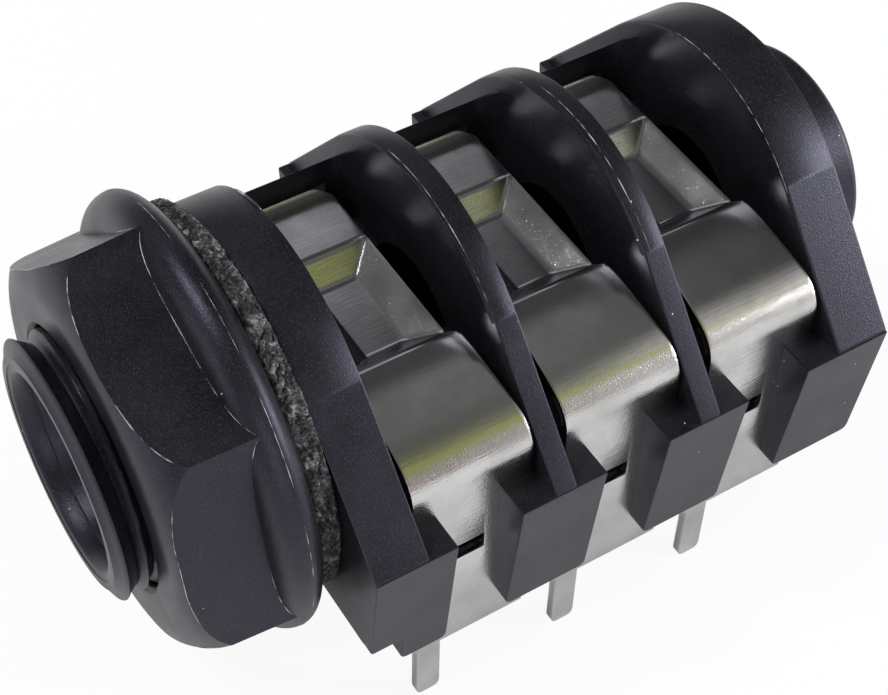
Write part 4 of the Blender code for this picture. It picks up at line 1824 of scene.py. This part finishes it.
@dataclass
class SpringContact(PressedStrip):
    """Spring contact: bend, slope, and a tongue with a pressed pocket that bears on the plug."""

    bend_height: float = 10.15 * MM
    bend_radius: float = 1.6 * MM
    slope: float = 26.0
    crease: float = 4.5 * MM
    taper: float = 0.5 * MM
    tongue_width: float = 4.2 * MM
    reach: float = 4.95 * MM
    corner: float = 0.75 * MM
    lift: float = 0.16 * MM
    pocket_depth: float = 0.7 * MM
    pocket_flank: float = 1.2 * MM
    pocket_near: float = 0.9 * MM
    pocket_floor: float = 3.9 * MM
    pocket_far: float = 1.2 * MM
    pocket_start: float = 0.2 * MM
    pocket_rim: float = 0.03 * MM
    row_step: float = 0.1 * MM
    rounding: float = 0.24 * MM
    sag: float = 0.30
    sag_depth: float = 0.45
    ease: float = 0.45
    ease_depth: float = 0.55

    def ramp(self, distance: float, run: float) -> float:
        """Share of the full depth at a distance into a wall, with rounded ends.

        Args:
            distance: how far past the wall's top.
            run: the wall's length in plan.

        Returns:
            From 0 to 1.
        """
        total = 0.0
        samples = 5
        for k in range(samples):
            shifted = distance + self.rounding * ((k + 0.5) / samples - 0.5)
            total += min(1.0, max(0.0, shifted / run))
        return total / samples

    def sink(self, x: float) -> Callable[[float], float]:
        """Works out the pocket's section across the tongue.

        Args:
            x: place along the tongue.

        Returns:
            A function from Y to the pocket's depth there.
        """
        near = self.crease - self.pocket_start
        far = near - self.pocket_near - self.pocket_floor - self.pocket_far
        along = min(self.ramp(near - x, self.pocket_near), self.ramp(x - far, self.pocket_far))
        half = self.tongue_width / 2

        def depth(y: float) -> float:
            """Depth at a Y."""
            inward = half - abs(y - self.centre)
            return self.pocket_depth * min(along, self.ramp(inward - self.pocket_rim, self.pocket_flank))

        return depth

    def eased(self) -> list[Point]:
        """Shares of the slope's run and rise, row by row: steep by the bend, easing near the crease.

        Returns:
            Pairs of run and rise from the bend's end to the crease, both ending at 1.
        """
        steps = 20
        pitches = []
        for i in range(1, steps + 1):
            into = max(0.0, i / steps - 1 + self.ease) / self.ease
            sagging = max(0.0, 1 - i / steps / self.sag)
            pitches.append(1 - self.ease_depth * into ** 1.5 + self.sag_depth * sagging)
        total = sum(pitches)
        return [((i + 1) / steps, sum(pitches[:i + 1]) / total) for i in range(steps)]

    def build(self, nickel: Dress) -> bpy.types.Object:
        """Shows the contact, left unattached to any body; nothing here bends it at its root.

        Args:
            nickel: its dress.

        Returns:
            The piece.
        """
        self.add_plate(1, self.bend_height)
        end = self.add_bend(1, self.bend_height, self.bend_radius, 90 - self.slope, 18)
        front = self.plate_front
        narrow = (self.plate_rear - front - self.taper) / (self.plate_rear - front)
        for share, fall in self.eased():
            drawn = 1 + (narrow - 1) * share
            places = [front + (y - front) * drawn for y in self.columns()]
            self.add_row(end.x + (self.crease - end.x) * share, end.z + (self.level - end.z) * fall, places)
        half = self.tongue_width / 2
        count = self.knots[-1]
        tongue = [self.centre - half + self.tongue_width * j / count for j in range(count + 1)]
        x = self.crease - self.pocket_start
        stop = self.corner - self.reach
        while x > stop:
            self.add_row(x, self.level, tongue, self.sink(x))
            x -= self.row_step
        steps = 8
        for i in range(steps + 1):
            angle = math.radians(90 * i / steps)
            place = stop - self.corner * math.sin(angle)
            cut = self.corner * (1 - math.cos(angle))
            pulled = [self.centre + (y - self.centre) * (1 - cut / half) for y in tongue]
            self.add_row(place, self.level + self.lift * (1 - math.cos(angle)), pulled)
        word = self.pole.word
        piece = nickel.show(f"{word}_spring", self.mesh(f"{word}_spring", -1.0), ride=False)
        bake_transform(piece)
        return piece


@dataclass
class BreakContact(PressedStrip):
    """Break contact: a shelf and a rising finger that meets the tongue from below."""

    bend_height: float = 8.9 * MM
    bend_radius: float = 1.1 * MM
    shelf: float = 1.5 * MM
    waist: float = 0.5 * MM
    neck: float = 0.2 * MM
    rise: float = 45.0
    tip_angle: float = 12.0
    tip_length: float = 1.15 * MM
    tip_gap: float = 0.15 * MM
    finger: float = 1.6 * MM

    def build(self, nickel: Dress) -> bpy.types.Object:
        """Shows the contact.

        Args:
            nickel: its dress.

        Returns:
            The piece.
        """
        self.add_plate(-1, self.bend_height)
        end = self.add_bend(-1, self.bend_height, self.bend_radius, 90, 14)
        top = self.level - self.layout.sheet - self.tip_gap
        count = self.knots[-1]
        thin = [self.centre - self.finger / 2 + self.finger * j / count for j in range(count + 1)]
        self.add_row(end.x + self.waist, end.z, self.columns())
        self.add_row(end.x + self.waist + self.neck, end.z, thin)
        tip_rise = self.tip_length * math.sin(math.radians(self.tip_angle))
        climb = (top - tip_rise - end.z) / math.sin(math.radians(self.rise))
        x, z = end.x + self.shelf, end.z
        self.add_row(x, z, thin)
        x += climb * math.cos(math.radians(self.rise))
        self.add_row(x, top - tip_rise, thin)
        self.add_row(x + self.tip_length * math.cos(math.radians(self.tip_angle)), top, thin)
        word = self.pole.word
        return nickel.show(f"{word}_break", self.mesh(f"{word}_break", 1.0))


# Mould flash on the housing


@dataclass
class MouldFlash:
    """Thin flash where the mould's halves met, on the crowns of the ribs and of both flanges."""

    layout: Layout
    radius: float = 8.0 * MM
    flange_radius: float = 7.93 * MM
    line: float = 0.020 * MM
    slip: tuple[float, ...] = (0.04 * MM, 0.28 * MM, 0.02 * MM)
    angles: Span = (104.0, 50.0)
    bold_angles: Span = (62.0, 96.0)
    faint: float = 0.55
    run: Span = (3.0, 13.0)
    gap: Span = (0.3, 2.0)
    thickness: Span = (0.5, 1.2)
    depth_mm: Span = (-0.008, 0.004)
    lip_angles: Span = (118.0, 101.0)
    lip: float = 0.055 * MM
    seed: int = 11

    def arc_line(self, radius: float, y: float, start: float, end: float) -> list[Vector]:
        """Points on an arc about the bore.

        Args:
            radius: the arc's radius.
            y: its place along the body.
            start: first angle in degrees.
            end: last angle.

        Returns:
            The points.
        """
        steps = max(6, int(abs(end - start) / 1.2))
        flat = arc((0.0, self.layout.axis), radius, start, end, steps)
        return [Vector((x, y, z)) for x, z in flat]

    def build(self, flash: Dress) -> bpy.types.Object:
        """Shows the flash lines.

        Args:
            flash: their dress.

        Returns:
            The piece.
        """
        luck = random.Random(self.seed)
        beads = []
        for k in range(1, self.layout.bays + 1):
            radius = self.flange_radius if k == self.layout.bays else self.radius
            y = self.layout.rib_front(k) + self.slip[k - 1]
            angle, last = self.angles
            while angle > last:
                run = luck.uniform(*self.run)
                depth = radius + luck.uniform(*self.depth_mm) * MM
                bold = self.bold_angles[0] < angle < self.bold_angles[1]
                thick = self.line * luck.uniform(*self.thickness) * (1.0 if bold else self.faint)
                beads.append(bead(self.arc_line(depth, y, angle, angle - run), thick))
                angle -= run + luck.uniform(*self.gap)
        rear_lip = self.arc_line(self.flange_radius, self.layout.front_flange - self.lip, *self.lip_angles)
        beads.append(bead(rear_lip, self.lip))
        mesh = self.layout.settle(gather(beads, "mould_flash"))
        return flash.show("mould_flash", shade(mesh))


# Set, light and camera


@dataclass(frozen=True)
class Softbox:
    """One soft lamp: where it hangs, its side and its power."""

    name: str
    aim: tuple[float, float, float]
    distance: float
    size: float
    watts: float

    def hang(self, target: Vector) -> None:
        """Hangs the lamp so that it faces the target.

        Args:
            target: the place that it lights.
        """
        light = bpy.data.lights.new(self.name, "AREA")
        light.shape = "SQUARE"
        light.size = self.size
        light.energy = self.watts
        lamp = bpy.data.objects.new(self.name, light)
        lamp.location = target + Vector(self.aim).normalized() * self.distance
        lamp.rotation_mode = "QUATERNION"
        lamp.rotation_quaternion = (-Vector(self.aim)).to_track_quat("-Z", "Y")
        bpy.context.scene.collection.objects.link(lamp)


@dataclass
class Studio:
    """The paper sweep, the softboxes, the dome of painted reflections and the white surround."""

    floor_z: float
    sweep: float = 0.45
    tent: float = 0.60
    tent_foot: float = 0.02
    ambient: float = 0.50
    middle: Vector = field(default_factory=lambda: Vector((0.0, 0.0, 8 * MM)))
    softboxes: tuple[Softbox, ...] = (
        Softbox("rear_softbox", (0.52, 0.80, 0.34), 0.30, 0.10, 0.62),
        Softbox("top_softbox", (-0.24, -0.49, 0.84), 0.30, 0.05, 0.34),
        Softbox("front_softbox", (-0.15, -0.97, 0.20), 0.35, 0.20, 0.13),
        Softbox("side_softbox", (0.86, -0.38, 0.34), 0.32, 0.14, 0.16),
    )

    def stand(self, name: str, form: bmesh.types.BMesh, material: bpy.types.Material) -> bpy.types.Object:
        """Adds one thing of the set, which isn't part of the object.

        Args:
            name: its name.
            form: its form, which is freed.
            material: its material.

        Returns:
            The thing.
        """
        mesh = to_mesh(form, name)
        mesh.materials.append(material)
        thing = bpy.data.objects.new(name, mesh)
        bpy.context.scene.collection.objects.link(thing)
        return thing

    def paper(self) -> None:
        """Lays the paper under the object."""
        form = bmesh.new()
        bmesh.ops.create_circle(form, cap_ends=True, radius=self.sweep, segments=96)
        self.stand("paper_sweep", form, SweepPaper().make()).location = (0.0, 0.0, self.floor_z)

    def cloth(self) -> None:
        """Hangs the dome of painted reflections, which only reflections see and which lights nothing."""
        form = bmesh.new()
        bmesh.ops.create_uvsphere(form, u_segments=96, v_segments=48, radius=self.tent)
        low = [v for v in form.verts if v.co.z < self.tent_foot]
        bmesh.ops.delete(form, geom=low, context="VERTS")
        tent = self.stand("painted_reflection_dome", form, GreyTent().make())
        # The dome glows with painted reflections, hidden from the camera, from plain light and from shadows.
        tent.visible_camera = False
        tent.visible_diffuse = False
        tent.visible_shadow = False

    def surround(self) -> None:
        """White for what looks at it or mirrors it, and a softer level for plain light."""
        world = bpy.data.worlds.new("white_surround")
        bpy.context.scene.world = world
        world.use_nodes = True
        tree = world.node_tree
        tree.nodes.clear()
        path = add_node(tree, "ShaderNodeLightPath")
        seen = add_node(tree, "ShaderNodeMath", {
            0: path.outputs["Is Camera Ray"], 1: path.outputs["Is Glossy Ray"],
        }, operation="MAXIMUM")
        seen = add_node(tree, "ShaderNodeMath", {
            0: seen.outputs[0], 1: path.outputs["Is Transmission Ray"],
        }, operation="MAXIMUM")
        level = add_node(tree, "ShaderNodeMapRange", {
            "Value": seen.outputs[0], "To Min": self.ambient, "To Max": 1.0,
        })
        light = add_node(tree, "ShaderNodeBackground", {
            "Color": grey(1.0), "Strength": level.outputs["Result"],
        })
        output = add_node(tree, "ShaderNodeOutputWorld")
        tree.links.new(light.outputs[0], output.inputs["Surface"])

    def build(self) -> None:
        """Sets the stage."""
        self.paper()
        self.cloth()
        self.surround()
        for softbox in self.softboxes:
            softbox.hang(self.middle)
        bpy.context.scene.view_settings.view_transform = "Standard"


@dataclass(frozen=True)
class PhotoCamera:
    """The camera, at the photograph's angle, distance and framing."""

    azimuth: float = 57.212
    elevation: float = 49.577
    roll: float = 1.386
    distance: float = 0.081994
    target: tuple[float, float, float] = (-0.000653, -0.000065, 0.004072)
    focal_px: float = 1867.08
    centre_px: tuple[float, float] = (445.29, 362.59)
    image_px: tuple[int, int] = (888, 695)
    sensor_mm: float = 36.0

    def build(self) -> bpy.types.Object:
        """Places the camera and makes it the scene's.

        Returns:
            The camera.
        """
        a, e, r = (math.radians(v) for v in (self.azimuth, self.elevation, self.roll))
        back = Vector((math.sin(a) * math.cos(e), -math.cos(a) * math.cos(e), math.sin(e)))
        right = Vector((math.cos(a), math.sin(a), 0.0))
        up = back.cross(right)
        turned_right = math.cos(r) * right + math.sin(r) * up
        turned_up = -math.sin(r) * right + math.cos(r) * up
        width, height = self.image_px
        lens = bpy.data.cameras.new("photo_camera")
        lens.sensor_width = self.sensor_mm
        lens.lens = self.focal_px * self.sensor_mm / width
        lens.shift_x = -(self.centre_px[0] - width / 2) / width
        lens.shift_y = (self.centre_px[1] - height / 2) / width
        lens.clip_start = 0.001
        camera = bpy.data.objects.new("photo_camera", lens)
        place = Matrix((turned_right, turned_up, back)).transposed().to_4x4()
        place.translation = Vector(self.target) + back * self.distance
        camera.matrix_world = place
        bpy.context.scene.collection.objects.link(camera)
        bpy.context.scene.camera = camera
        return camera


def main() -> None:
    """Builds every sub-assembly in order, then the set and the camera."""
    logging.basicConfig(level=logging.INFO, format="%(name)s: %(message)s")
    layout = Layout.from_frame()
    PhotoCamera().build()

    nylon = MouldedNylon().make()
    flash = NylonFlash().make()
    nickel = NickelPlate().make()
    fibre = VulcanisedFibre().make()

    MouldedHousing(layout).build(Dress(nylon, "housing", stands_for=("housing",)))
    MouldFlash(layout).build(Dress(flash, "housing"))
    nut_dress = Dress(nylon, "panel_nut", "nut", ("panel_nut",))
    HexNut(layout).build(nut_dress, Dress(flash, "panel_nut", "nut"))
    FibreWasher(layout).build(Dress(fibre, "panel_washer", "washer", ("panel_washer",)))
    for pole in Pole:
        spring_node, break_node = f"{pole.word}_spring_contact", f"{pole.word}_break_contact"
        SpringContact(layout, pole).build(Dress(nickel, "contacts", stands_for=(spring_node,)))
        BreakContact(layout, pole).build(Dress(nickel, "contacts", stands_for=(break_node,)))

    Studio(floor_z=CAD_BOX[0].z).build()


if __name__ == "__main__":
    main()
